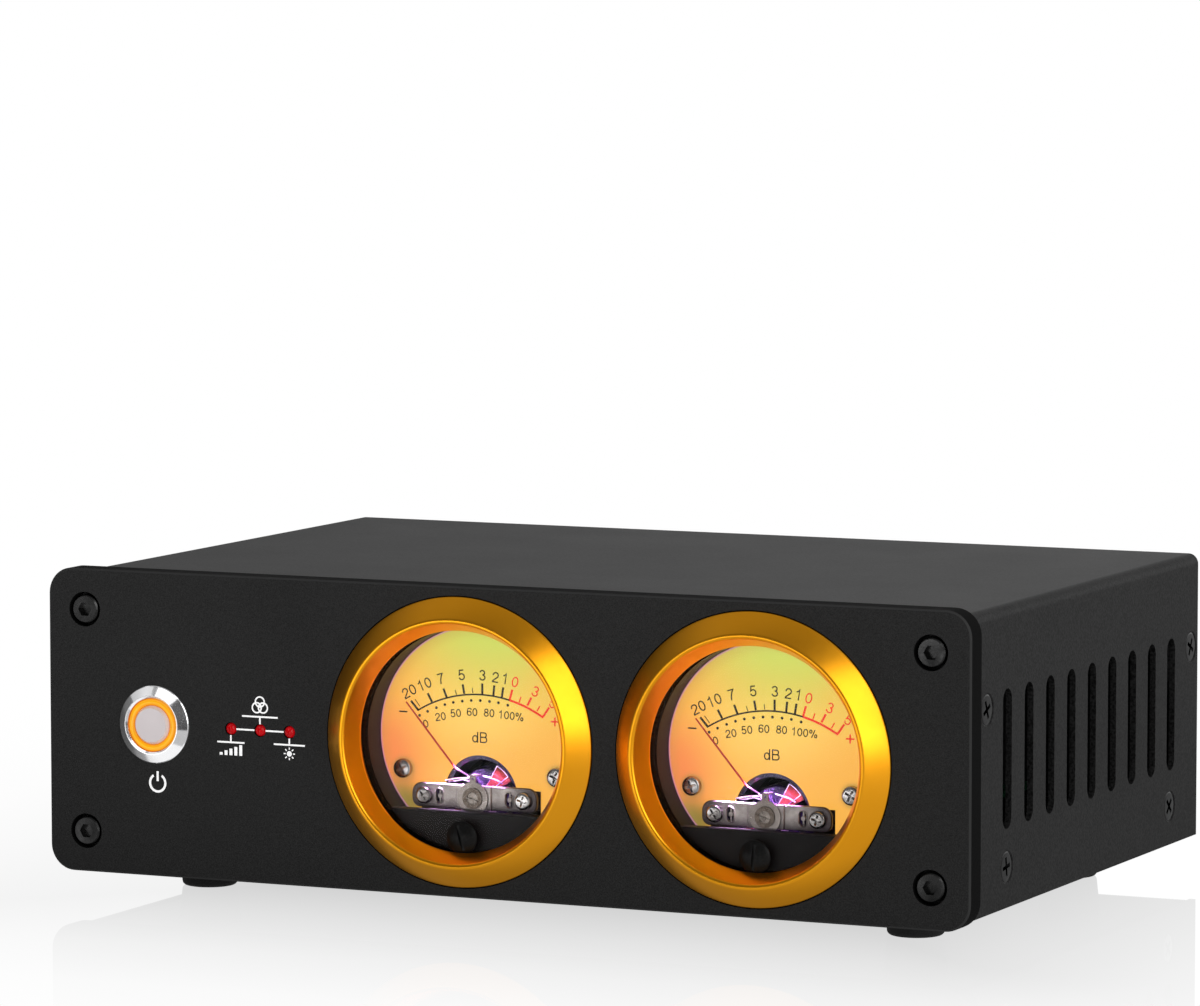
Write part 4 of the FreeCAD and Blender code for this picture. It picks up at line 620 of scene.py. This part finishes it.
class Strokes:
    """Flat strokes between two depths along y, facing the front. Strokes that cross differ in lift."""

    def __init__(self, bm, front, back):
        self.bm, self.front, self.back = bm, front, back

    def plate(self, corners, lift=0.0):
        """A plate on an outline of (x, z) corners."""
        front = [self.bm.verts.new((x, self.front - lift, z)) for x, z in corners]
        back = [self.bm.verts.new((x, self.back, z)) for x, z in corners]
        self.bm.faces.new(front)
        self.bm.faces.new(back[::-1])
        wall(self.bm, front, back)

    def bar(self, start, end, width, lift=0.0):
        """A straight stroke between two (x, z) points."""
        along = heading(start, end)
        across = Vector((-along.y, along.x)) * width / 2
        self.plate([beside(start, across, 1), beside(end, across, 1), beside(end, across, -1),
                    beside(start, across, -1)], lift)

    def level(self, x, z, half, width, lift=0.0):
        """A level stroke that reaches as far to both sides of a point."""
        self.bar((x - half, z), (x + half, z), width, lift)

    def arc(self, middle, radius, width, start=0, end=360, lift=0.0, steps=48):
        """A stroke along an arc. Angles are in degrees, clockwise from upright."""
        outer, inner = [], []
        for index in range(steps + 1):
            angle = math.radians(start + (end - start) * index / steps)
            for points, at in ((outer, radius + width / 2), (inner, radius - width / 2)):
                points.append((middle[0] + at * math.sin(angle), middle[1] + at * math.cos(angle)))
        for index in range(steps):
            self.plate([outer[index], outer[index + 1], inner[index + 1], inner[index]], lift)

    def disc(self, middle, radius):
        self.plate(ring_points(*middle, radius, 24))

    def line(self, points, width):
        """A band of even width along a line of (x, z) points."""
        closed = math.dist(points[0], points[-1]) < 1e-6
        if closed:
            points = points[:-1]
        count = len(points)
        left, right = [], []
        for index, point in enumerate(points):
            ways = []
            if index or closed:
                ways.append(heading(points[index - 1], point))
            if index < count - 1 or closed:
                ways.append(heading(point, points[(index + 1) % count]))
            along = (ways[0] + ways[-1]).normalized()
            across = Vector((-along.y, along.x))
            reach = width / 2 / max(0.5, abs(across.dot(Vector((-ways[0].y, ways[0].x)))))
            left.append(beside(point, across, reach))
            right.append(beside(point, across, -reach))
        for index in range(count if closed else count - 1):
            after = (index + 1) % count
            self.plate([left[index], left[after], right[after], right[index]])

    def text(self, text, middle, height, turn=0, weight=0.12):
        """Figures centred on an (x, z) point and turned clockwise by some degrees."""
        cos, sin = math.cos(math.radians(turn)), math.sin(math.radians(turn))
        at = -sum(FIGURES[letter][0] for letter in text) / 2
        for letter in text:
            advance, lines = FIGURES[letter]
            for line in lines:
                placed = []
                for x, z in line:
                    u, v = (at + x) * height, (z - 0.5) * height
                    placed.append((middle[0] + u * cos + v * sin, middle[1] - u * sin + v * cos))
                self.line(placed, weight * height)
            at += advance


# ---- dial print
ink_black = grained("ink_black", (0.010, 0.009, 0.007), (0.018, 0.016, 0.012), 0.0003, 0.000002, 0.5)
# red print of the dials, with a painted glow for the light behind them
ink_red = ink("ink_red", (0.60, 0.018, 0.010), (0.72, 0.026, 0.014), 0.000002,
              (0.62, 0.028, 0.012), (0.74, 0.04, 0.016), 0.85)
# white print of the panel and the rear, with a painted glow
ink_white = ink("ink_white", grey(0.80), grey(0.90), 0.000003, grey(0.9), grey(1.0), 0.45)

SCALE_RADIUS = 25.2
SCALE_DROP = 5.95           # of the scale arc's middle below the pivot
SCALE_HALF = 13.1           # the scale's reach to each side
FIGURE_HEIGHT = 2.02
LOW_HEIGHT = 1.5            # of the per cent figures
SIGN_HALF = 0.85            # of the minus and the plus

# strokes of the scale, from the arc outwards: (x, z) of the foot and the tip from the pivot, and the width
BLACK_TICKS = [
    ((-12.89, 15.57), (-14.50, 17.34), 0.42), ((-12.61, 16.36), (-13.65, 17.68), 0.15),
    ((-10.07, 17.34), (-10.97, 18.95), 0.42), ((-6.97, 18.33), (-7.67, 20.02), 0.42),
    ((-4.91, 18.95), (-5.22, 19.88), 0.15), ((-3.30, 19.23), (-3.64, 21.01), 0.42),
    ((-1.52, 19.46), (-1.64, 20.45), 0.15), ((0.45, 19.32), (0.45, 21.38), 0.42),
    ((2.76, 19.18), (2.96, 21.15), 0.42), ((4.51, 18.95), (4.82, 20.87), 0.42),
]
RED_TICKS = [
    ((6.15, 18.61), (6.71, 20.53), 0.42), ((8.12, 18.19), (8.49, 19.26), 0.24),
    ((9.81, 17.68), (10.66, 19.23), 0.42), ((11.79, 16.72), (12.41, 17.71), 0.24),
    ((13.06, 15.74), (14.33, 17.54), 0.42),
]

# places on the dial's layout grid, whose u runs right and whose v runs down
GRID_UNIT = 0.0282          # millimetres
GRID_PIVOT = (772, 1190)    # the pivot's place
BLACK_FIGURES = [("20", 245, 512, -29), ("10", 358, 458, -24), ("7", 480, 415, -16), ("5", 635, 382, -7),
                 ("3", 790, 377, 1), ("2", 887, 386, 6), ("1", 958, 392, 10)]
RED_FIGURES = [("0", 1030, 410, 15), ("3", 1180, 466, 23), ("5", 1310, 538, 32)]
LOW_FIGURES = [("0", 368, 723, -22), ("20", 478, 670, -10), ("50", 591, 641, -6), ("60", 712, 627, 0),
               ("80", 838, 627, 2), ("100%", 1000, 638, 4)]
DOTS = [(322, 670), (382, 640), (447, 612), (510, 588), (573, 570), (640, 558), (706, 550), (773, 547),
        (841, 550), (907, 555), (976, 568)]
MINUS, PLUS, UNIT_SIGN = (200, 650), (1322, 661), (770, 795)


def on_dial(side, u, v):
    """The (x, z) place of a point of the layout grid on one meter's dial."""
    return METER_X[side] + (u - GRID_PIVOT[0]) * GRID_UNIT, PIVOT_Z + (GRID_PIVOT[1] - v) * GRID_UNIT


def print_scale(side, ticks, figures, arc_width, start, end):
    """One colour's share of the scale: its arc between two angles, its ticks and its figures."""
    x0 = METER_X[side]
    strokes = Strokes(bmesh.new(), DIAL_Y - 0.03, DIAL_Y + 0.01)
    strokes.arc((x0, PIVOT_Z - SCALE_DROP), SCALE_RADIUS, arc_width, start, end)
    for foot, tip, width in ticks:
        strokes.bar((x0 + foot[0], PIVOT_Z + foot[1]), (x0 + tip[0], PIVOT_Z + tip[1]), width)
    for text, u, v, turn in figures:
        strokes.text(text, on_dial(side, u, v), FIGURE_HEIGHT, turn)
    return strokes


def print_dial(side):
    foot_of_zero = RED_TICKS[0][0]
    zero_angle = math.degrees(math.atan2(foot_of_zero[0], foot_of_zero[1] + SCALE_DROP))
    end_angle = math.degrees(math.asin(SCALE_HALF / SCALE_RADIUS))

    black = print_scale(side, BLACK_TICKS, BLACK_FIGURES, 0.3, -end_angle, zero_angle)
    for u, v in DOTS:
        black.disc(on_dial(side, u, v), 0.27)
    for text, u, v, turn in LOW_FIGURES:
        black.text(text, on_dial(side, u, v), LOW_HEIGHT, turn, 0.135)
    black.text("dB", on_dial(side, *UNIT_SIGN), 2.05, 0, 0.115)
    black.level(*on_dial(side, *MINUS), SIGN_HALF, 0.28)
    add_piece(side + "_dial_print_black", black.bm, ink_black, "case", "dial_amber")

    red = print_scale(side, RED_TICKS, RED_FIGURES, 0.42, zero_angle, end_angle)
    x, z = on_dial(side, *PLUS)
    red.level(x, z, SIGN_HALF, 0.3)
    red.bar((x, z + SIGN_HALF), (x, z - SIGN_HALF), 0.3, 0.005)
    add_piece(side + "_dial_print_red", red.bm, ink_red, "case", "dial_amber")


# ---- bezels
LIP_RADIUS, LIP_DEPTH, LIP_ROUND = 23.15, -2.55, 0.75


def bezel(side):
    """Bezel with a softly rounded lip between its two cones."""
    lip = [around(LIP_RADIUS, LIP_DEPTH, LIP_ROUND, math.radians(angle - 90))
           for angle in (39, 26, 13, 0, -13, -26, -39, -52, -63)]
    outline = [(27.35, 1.5), (27.35, 0.0), (27.33, -0.09), (27.26, -0.18), (27.12, -0.31)] + lip + [
        (21.0, 0.4), (20.93, 0.52), (20.9, 0.6), (20.9, 0.85), (21.55, 0.85), (21.55, 1.5), (22.4, 1.5),
        (22.4, 4.1), (22.45, 4.1), (22.45, 5.9), (24.0, 5.9), (24.0, 1.5),
    ]
    bm = bmesh.new()
    turned(bm, METER_X[side], METER_Z, outline, 180)
    add_piece(side + "_bezel_turned", bm, looks["gold_anodised"], "case", "gold_anodised", True,
              [side + "_bezel_ring"])


# ---- movement, in depths behind the panel's face
BRIDGE_HALF, BRIDGE_LOW, BRIDGE_HIGH = 13.0, -2.26, 2.4
BRIDGE_SCREW_X, BRIDGE_SLOT_X = 10.3, 7.25
DIAL_SCREW_X, DIAL_SCREW_DROP = 16.0, 6.8
POINTER_REST = 130.6        # degrees, anticlockwise from the right
COVER_SCREWS = [(-53.25, 44.3), (56.75, 44.3), (-43.05, 14.1), (44.95, 14.1)]       # (y, z) on each side
COVER_SCREW_SUNK = 0.1

# wires with a pink-violet tint and a violet-white glow, painted light for the violet lamps in the movement
lit_wire = metal("lit_wire", (0.86, 0.72, 0.86), (0.95, 0.85, 0.95), 0.22, height=0.000001)
wire_light = lit_wire.shades(lit_wire.noise(0.0014, 1.0), (0.10, 0.02, 0.22), (0.85, 0.55, 1.0), 0.42, 0.62)
lit_wire.glow(wire_light, 1.3)


def bridge(side):
    """Bridge plate: rounded ends, a raised middle, raised rims round its slots, and two feet."""
    x, z = METER_X[side], PIVOT_Z
    low, high = z + BRIDGE_LOW, z + BRIDGE_HIGH
    bore = ring_points(x, z, 1.74)
    slots, rims = [], []
    for way in (-1, 1):
        middle = x + way * BRIDGE_SLOT_X
        slots.append(rounded(middle - 0.7, middle + 0.7, z - 1.35, z + 1.35, 0.69, 0.69))
        rims.append(rounded(middle - 0.95, middle + 0.95, z - 1.6, z + 1.6, 0.94, 0.94))
    bm = bmesh.new()
    slab(bm, rounded(x - BRIDGE_HALF, x + BRIDGE_HALF, low, high, 1.6, 2.0), [bore] + slots, 6.6, 7.25, 0.16)
    slab(bm, rounded(x - 3.7, x + 3.7, low, high, 0.2, 0.2), [bore], 6.25, 6.65, 0.14)
    for slot, rim in zip(slots, rims):
        slab(bm, rim, [slot], 6.45, 6.7, 0.09)
    slot_bars = Strokes(bm, PANEL_Y + 7.0, PANEL_Y + 7.25)
    for way in (-1, 1):
        turned(bm, x + way * BRIDGE_SCREW_X, z, [(0, 7.2), (1.5, 7.2), (1.5, 10.1), (0, 10.1)], 32)
        # the stud of the plate behind shows in the slot, on a bar
        middle = x + way * BRIDGE_SLOT_X
        turned(bm, middle, z, [(0, 6.85), (0.42, 6.85), (0.5, 6.95), (0.5, 7.25), (0, 7.25)], 20)
        slot_bars.bar((middle, z - 1.3), (middle, z + 1.3), 0.3)
    add_piece(side + "_bridge_pressed", bm, bridge_look(side), "case", "bridge_metal", True,
              [side + "_bridge"])


def screws():
    """Cross-head screws of the dials, the bridges and the cover."""
    dials, bridges, cover = bmesh.new(), bmesh.new(), bmesh.new()
    for x, more in zip(METER_X.values(), (9, 0)):
        for way, turn in ((-1, 20), (1, 62)):
            crosshead(dials, x + way * DIAL_SCREW_X, METER_Z - DIAL_SCREW_DROP, 1.85, PANEL_Y + 8.1, 1.2,
                      turn + more)
            crosshead(bridges, x + way * BRIDGE_SCREW_X, PIVOT_Z, 1.65, PANEL_Y + 5.7, 0.9, turn + 14)
    for way in (-1, 1):
        for index, (y, z) in enumerate(COVER_SCREWS):
            place = Matrix.Translation((way * (COVER_X - COVER_SCREW_SUNK), y, z))
            first = len(cover.verts)
            crosshead(cover, 0, 0, 2.92, 0, 1.1, 24 + 37 * index, (1.45, 4.6), FLAT_HEAD)
            bmesh.ops.transform(cover, matrix=place @ Matrix.Rotation(way * math.pi / 2, 4, "Z"),
                                verts=list(cover.verts)[first:])
    bright = metal("screw_bright", (0.16, 0.145, 0.14), (0.62, 0.60, 0.59), 0.17, size=0.0003,
                   height=0.000003)
    black = metal("screw_black", (0.012, 0.012, 0.0125), (0.030, 0.030, 0.031), 0.15, height=0.000003)
    for name, bm, look, slot in (("cover_screws", cover, black, "black_screws"),
                                 ("dial_screws", dials, bright, "plain_steel"),
                                 ("bridge_screws", bridges, bright, "plain_steel")):
        add_piece(name + "_crosshead", bm, look, "case", slot, True, [name])


def about_pivot(side, radius, angle, depth):
    """The (x, y, z) place at a radius and an angle, in degrees, about a pointer's axis."""
    x, z = around(METER_X[side], PIVOT_Z, radius, math.radians(angle))
    return x, PANEL_Y + depth, z


def winding(side):
    """Strands of the moving coil over its core's front and down its sides, and its frame's edges, made bright
    by a painted violet glow.
    """
    strands, frame_edges = bmesh.new(), bmesh.new()
    place = partial(about_pivot, side)
    for middle in (49.4, 229.4):
        for index in range(11):
            angle = middle - 11.5 + 2.3 * index
            tube(strands, [place(1.5, middle + (angle - middle) * 2.2, 10.38), place(4.0, angle, 10.36),
                           place(6.42, angle, 10.38), place(6.6, angle, 10.5), place(6.62, angle, 14.0),
                           place(6.6, angle, 18.4)], 0.11)
        for way in (-1, 1):
            tube(frame_edges, [place(1.1, middle + way * 26, 10.36), place(3.4, middle + way * 14.2, 10.34),
                               place(6.5, middle + way * 13.2, 10.36)], 0.10)
        tube(frame_edges, [place(6.5, middle - 13.2 + 26.4 * k / 8, 10.36) for k in range(9)], 0.10)
    body = side + "_pointer"
    add_piece(side + "_coil_strands", strands, looks["coil_copper"], body, "coil_copper", True)
    add_piece(side + "_coil_frame_edges", frame_edges, lit_wire, body, "coil_copper", True)


def needle(side):
    """Pointer of fine drawn wire on its hub, with a crank forward over the dial, a tail and its weight."""

    def place(radius, depth):
        return about_pivot(side, radius, POINTER_REST, depth)

    bm = bmesh.new()
    tube(bm, [place(0.7, 10.22), place(4.8, 10.22), place(5.05, 10.08), place(6.9, 8.0), place(7.1, 7.9),
              place(15.0, 7.88), place(22.75, 7.88)], [0.19, 0.19, 0.19, 0.2, 0.2, 0.19, 0.15], 10)
    tube(bm, [place(-0.7, 10.22), place(-3.4, 10.22)], 0.17, 10)
    x, _, z = place(-3.4, 0)
    turned(bm, x, z, [(0, 9.62), (0.6, 9.62), (0.7, 9.72), (0.7, 10.38), (0, 10.38)], 24)
    turned(bm, METER_X[side], PIVOT_Z,
           [(0.32, 9.94), (1.0, 9.94), (1.1, 10.04), (1.1, 10.38), (0.32, 10.38)], 32)
    paint = pointer_paint_and_glow(side + "_needle_paint", METER_X[side])
    add_piece(side + "_needle", bm, paint, side + "_pointer", "pointer_red", True, [side + "_pointer"])


def lead_wires(side):
    """Fine wires from the ears of the movement to its hairspring, as (x, z, depth) from the pivot."""
    bm = bmesh.new()
    for line in (
        [(-7.0, 2.75, 8.6), (-5.6, 3.05, 8.5), (-3.9, 3.35, 8.5), (-2.3, 3.4, 8.4), (-1.2, 3.9, 8.2)],
        [(-6.6, 2.5, 9.2), (-5.2, 2.62, 9.2), (-3.6, 3.0, 9.3), (-2.2, 2.7, 9.2)],
        [(1.0, 4.0, 8.4), (2.2, 3.7, 8.7), (3.6, 3.2, 9.2), (4.6, 2.6, 9.4)],
    ):
        tube(bm, [(METER_X[side] + x, PANEL_Y + depth, PIVOT_Z + z) for x, z, depth in line], 0.15)
    # the wires carry the painted violet glow of lit_wire
    add_piece(side + "_lead_wires", bm, lit_wire, "case", "spring_bronze", True)


# ---- printed signs
LINK_WIDTH = 0.32
LINK_CLEAR = 1.2            # from a trimmer's axis to the lines that lead to it
CROSSING = 0.006            # lift of a stroke that crosses another
FINE_CROSSING = 0.004


def print_panel():
    """Signs by the trimmers and under the button; heights count from the panel's lower edge."""
    strokes = Strokes(bmesh.new(), PANEL_Y - 0.03, PANEL_Y + 0.01)
    left, middle, right = TRIMMER_X
    # links between the three trimmers, with a stem and a line to each sign
    for start, end in ((left, middle), (middle, right)):
        strokes.bar((start + LINK_CLEAR, METER_Z), (end - LINK_CLEAR, METER_Z), LINK_WIDTH)
    for x, way, stem, line, half in ((left, -1, 26.75, 26.68, 2.9), (middle, 1, 31.8, 31.85, 3.8),
                                     (right, -1, 26.85, 26.83, 3.3)):
        strokes.bar((x, METER_Z + way * LINK_CLEAR), (x, PANEL_LOW + stem), LINK_WIDTH)
        strokes.level(x, PANEL_LOW + line, half, LINK_WIDTH, CROSSING)
    # level sign: a wedge of rising bars
    z = PANEL_LOW + 24.2
    for index in range(5):
        x = left - 2.1 + index * 1.05
        strokes.bar((x, z), (x, z + 0.5 + 0.38 * index), 0.62)
    # colour sign: three rings that cross
    z = PANEL_LOW + 33.9
    for index, (dx, dz) in enumerate(((-0.66, -0.32), (0.66, -0.32), (0, 0.80))):
        strokes.arc((middle + dx, z + dz), 0.95, 0.28, lift=FINE_CROSSING * index, steps=32)
    # brightness sign: a disc with rays
    z = PANEL_LOW + 25.15
    strokes.disc((right, z), 0.52)
    for inner, outer in zip(ring_points(right, z, 0.78, 8), ring_points(right, z, 1.2, 8)):
        strokes.bar(inner, outer, 0.22)
    # power sign
    x, z = BUTTON_X + 0.5, PANEL_LOW + 18.0
    strokes.arc((x, z), 1.65, 0.45, 32, 328)
    strokes.bar((x, z + 0.35), (x, z + 2.25), 0.45, CROSSING)
    add_piece("panel_print", strokes.bm, ink_white, "case", "black_anodised")


def print_rear():
    """Plain signs on the rear: arrows over the phono sockets, centre-plus under the power socket."""
    strokes = Strokes(bmesh.new(), REAR_Y + 0.03, REAR_Y - 0.01)
    for x, way in ((PHONO_X - 8.0, -1), (PHONO_X + 8.0, 1)):
        z = 50.2
        tip = z + way * 1.6
        strokes.bar((x, z - way * 1.6), (x, tip - way * 1.2), 0.45)
        strokes.plate([(x - 1.15, tip - way * 1.3), (x + 1.15, tip - way * 1.3), (x, tip)])
        strokes.level(x, 47.7, 2.2, 0.32)
    x, z = POWER_SOCKET[0], POWER_SOCKET[1] - 8.2
    strokes.disc((x, z), 0.42)
    strokes.arc((x, z), 1.15, 0.28, 130, 410)
    for way, start in ((-1, 1.2), (1, 0.5)):
        strokes.bar((x + way * start, z), (x + way * 2.6, z), 0.26, FINE_CROSSING)
        strokes.arc((x + way * 3.9, z), 1.1, 0.26)
        strokes.level(x + way * 3.9, z, 0.55, 0.26)
    strokes.bar((x + 3.9, z - 0.55), (x + 3.9, z + 0.55), 0.26, FINE_CROSSING)
    add_piece("rear_print", strokes.bm, ink_white, "case", "black_coat")


for side in METER_X:
    print_dial(side)
for side in METER_X:
    bezel(side)
screws()
for side in METER_X:
    bridge(side)
    winding(side)
    needle(side)
    lead_wires(side)
print_panel()
print_rear()


# ---- stage, in metres
def one_sided(look, shader, back_shader):
    """Shows one shader on the front of a plane and another on its back."""
    backfacing = look.node("NewGeometry").outputs["Backfacing"]
    look.show(look.mixed(backfacing, shader, back_shader))


def white_floor():
    """White floor with a faint mirror image of the object, which fades with the distance from it."""
    look = Look("floor_paint", grey(0.8), 0.9)
    # the distance from the object's outline seen from above, negative under the object
    half = look.vector("ABSOLUTE", look.coordinates((1, 1, 0)))
    beyond = look.vector("SUBTRACT", half, (0.095, 0.070, 0))
    away = look.vector("LENGTH", look.vector("MAXIMUM", beyond, (0, 0, 0)))
    inner = look.number("MAXIMUM", look.parts(beyond)["X"], look.parts(beyond)["Y"])
    distance = look.number("ADD", away, look.number("MINIMUM", inner, 0))
    share = look.ramp(look.range(distance, -0.05, 0.20, 0, 1), [
        (0.0, grey(0.42)), (0.2, grey(0.24)), (0.36, grey(0.12)), (0.52, grey(0.045)), (0.72, grey(0.012)),
        (1.0, grey(0.0)),
    ])
    mirror = look.node("BsdfAnisotropic", grey(1.0), 0.02).outputs[0]
    seen = look.mixed(share, look.emission(1.0), mirror)
    # what the object's own surfaces see of the floor: lit from the right, brightest before the front
    spot = look.parts(look.coordinates())
    even = look.number("MULTIPLY", look.range(spot["X"], -0.35, 0.3, 0.2, 0.5),
                       look.range(spot["Y"], -0.0695, -0.0765, 0.85, 1.5))
    strip = look.range(look.distance((-0.10, -0.40, 0), (1, 0.45, 1)), 0.07, 0.14, 2.2, 0, True)
    shine = look.emission(look.number("ADD", even, strip))
    to_camera = look.node("LightPath").outputs["Is Camera Ray"]
    # clear from below, so that a view from there shows the underside
    one_sided(look, look.mixed(to_camera, shine, seen), look.node("BsdfTransparent").outputs[0])
    return look


def black_paint():
    """Black on the side that faces the button, clear on the other."""
    look = Look("black_card", grey(0.004), 1.0, Specular_IOR_Level=0.0)
    one_sided(look, look.node("BsdfTransparent").outputs[0], look.shader.outputs[0])
    return look


def stage_plane(name, corners, look):
    mesh = bpy.data.meshes.new(name)
    mesh.from_pydata(corners, [], [(0, 1, 2, 3)])
    mesh.materials.append(look.material)
    return new_object(name, mesh)


def studio_world():
    """White to the eye. The surfaces see a white wall low down behind, a grey ceiling and a dark front."""
    world = bpy.data.worlds.new("studio")
    scene.world = world
    world.use_nodes = True
    wires = Wiring(world.node_tree)
    room, output = (world.node_tree.nodes[name] for name in ("Background", "World Output"))
    white = wires.node("Background", grey(1.0)).outputs[0]
    way = wires.parts(wires.node("TexCoord").outputs["Generated"])
    ceiling = wires.number("MULTIPLY", wires.range(way["Y"], -0.6, -0.25, 0.18, 0.40, True),
                           wires.range(way["X"], -0.97, -0.6, 0.33, 1.0, True))
    back_wall = wires.number("MULTIPLY", wires.range(way["Y"], 0.0, 0.5, 0.0, 1.0, True),
                             wires.range(way["Z"], 0.22, 0.34, 1.0, 0.0, True))
    back_wall = wires.number("MULTIPLY", back_wall, wires.range(way["X"], -0.56, -0.32, 0.45, 1.05, True))
    wires.plug(wires.number("MAXIMUM", ceiling, back_wall), room.inputs["Color"])
    to_camera = wires.node("LightPath").outputs["Is Camera Ray"]
    wires.plug(wires.mixed(to_camera, room.outputs[0], white), output.inputs["Surface"])


# place, target, size, power in watts
LAMPS = {
    "key": ((0.98, -1.03, 0.66), (0.03, -0.06, 0.03), (0.80, 1.05), 6.8),
    "low_key": ((1.15, -0.92, 0.16), (0.05, -0.06, 0.03), (0.75, 0.30), 1.3),
    "top": ((0.3, 0.45, 1.25), (0.0, 0.0, 0.03), (1.3, 0.9), 1.7),
}
# small white cards, seen only in the shine of the power button
BUTTON_CARDS = {
    "button_card": ((-0.0655, -0.0925, 0.0720), (-0.0690, -0.0673, 0.0400), (0.040, 0.018), 0.003),
    "button_card_left": ((-0.1020, -0.0780, 0.0640), (-0.0745, -0.0673, 0.0405), (0.048, 0.026), 0.0018),
    "button_card_low": ((-0.0700, -0.0780, 0.0060), (-0.0710, -0.0673, 0.0290), (0.052, 0.020), 0.0017),
}
# a black card beside them, seen only in reflections and only from the button's side
BLACK_CARD = [(-0.0490, -0.0905, 0.0265), (-0.0420, -0.0860, 0.0265), (-0.0495, -0.0880, 0.0640),
              (-0.0570, -0.0925, 0.0640)]


def area_light(name, place, target, size, power, color=(1, 1, 1), spread=180):
    light = bpy.data.lights.new(name, "AREA")
    light.shape = "RECTANGLE"
    light.size, light.size_y = size
    light.energy = power
    light.color = color
    light.spread = math.radians(spread)
    obj = new_object(name, light)
    obj.location = place
    obj.rotation_euler = (Vector(target) - Vector(place)).to_track_quat("-Z", "Y").to_euler()
    return obj


def movement_lights(side):
    """Violet light that leaks round the dial onto the movement, in two narrow beams from above."""
    x, edge_x = METER_X[side] * MM, (METER_X[side] - 5.0) * MM
    for lamp in (
        area_light(side + "_movement_light", (x, -0.0590, (PIVOT_Z + 7.0) * MM),
                   (x, -0.0560, (PIVOT_Z - 1.0) * MM), (0.009, 0.0010), 0.014, (0.62, 0.30, 1.0), 75),
        area_light(side + "_edge_light", (edge_x, -0.0594, (PIVOT_Z + 6.5) * MM),
                   (edge_x, -0.0594, PIVOT_Z * MM), (0.010, 0.0008), 0.012, (0.80, 0.50, 1.0), 40),
    ):
        lamp.visible_camera = False


floor = stage_plane("floor", [(-4, -4, 0), (4, -4, 0), (4, 4, 0), (-4, 4, 0)], white_floor())
studio_world()
for name, lamp in LAMPS.items():
    area_light(name, *lamp)
button_pieces = bpy.data.collections.new("button_pieces")
for node in ("power_button_bushing", "power_button_cap", "power_button_glow_ring"):
    button_pieces.objects.link(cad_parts[node])
for name, lamp in BUTTON_CARDS.items():
    card = area_light(name, *lamp)
    card.visible_camera = card.visible_diffuse = False
    card.light_linking.receiver_collection = button_pieces
black_card = stage_plane("black_card", BLACK_CARD, black_paint())
black_card.visible_camera = black_card.visible_diffuse = black_card.visible_shadow = False
for side in METER_X:
    movement_lights(side)

# ---- camera, fitted to the corners of the box
camera_data = bpy.data.cameras.new("camera")
camera_data.sensor_fit = "HORIZONTAL"
camera_data.sensor_width = 36.0
camera_data.lens = 194.03
camera_data.clip_end = 20
camera = new_object("camera", camera_data)
right = Vector((0.908024, 0.418918, -0.000434))
up = Vector((-0.038409, 0.084285, 0.995701))
forward = Vector((-0.417154, 0.904104, -0.092623))
rotation = Matrix((right, up, -forward)).transposed().to_4x4()
camera.matrix_world = Matrix.Translation((0.518086, -1.142626, 0.190704)) @ rotation
scene.camera = camera
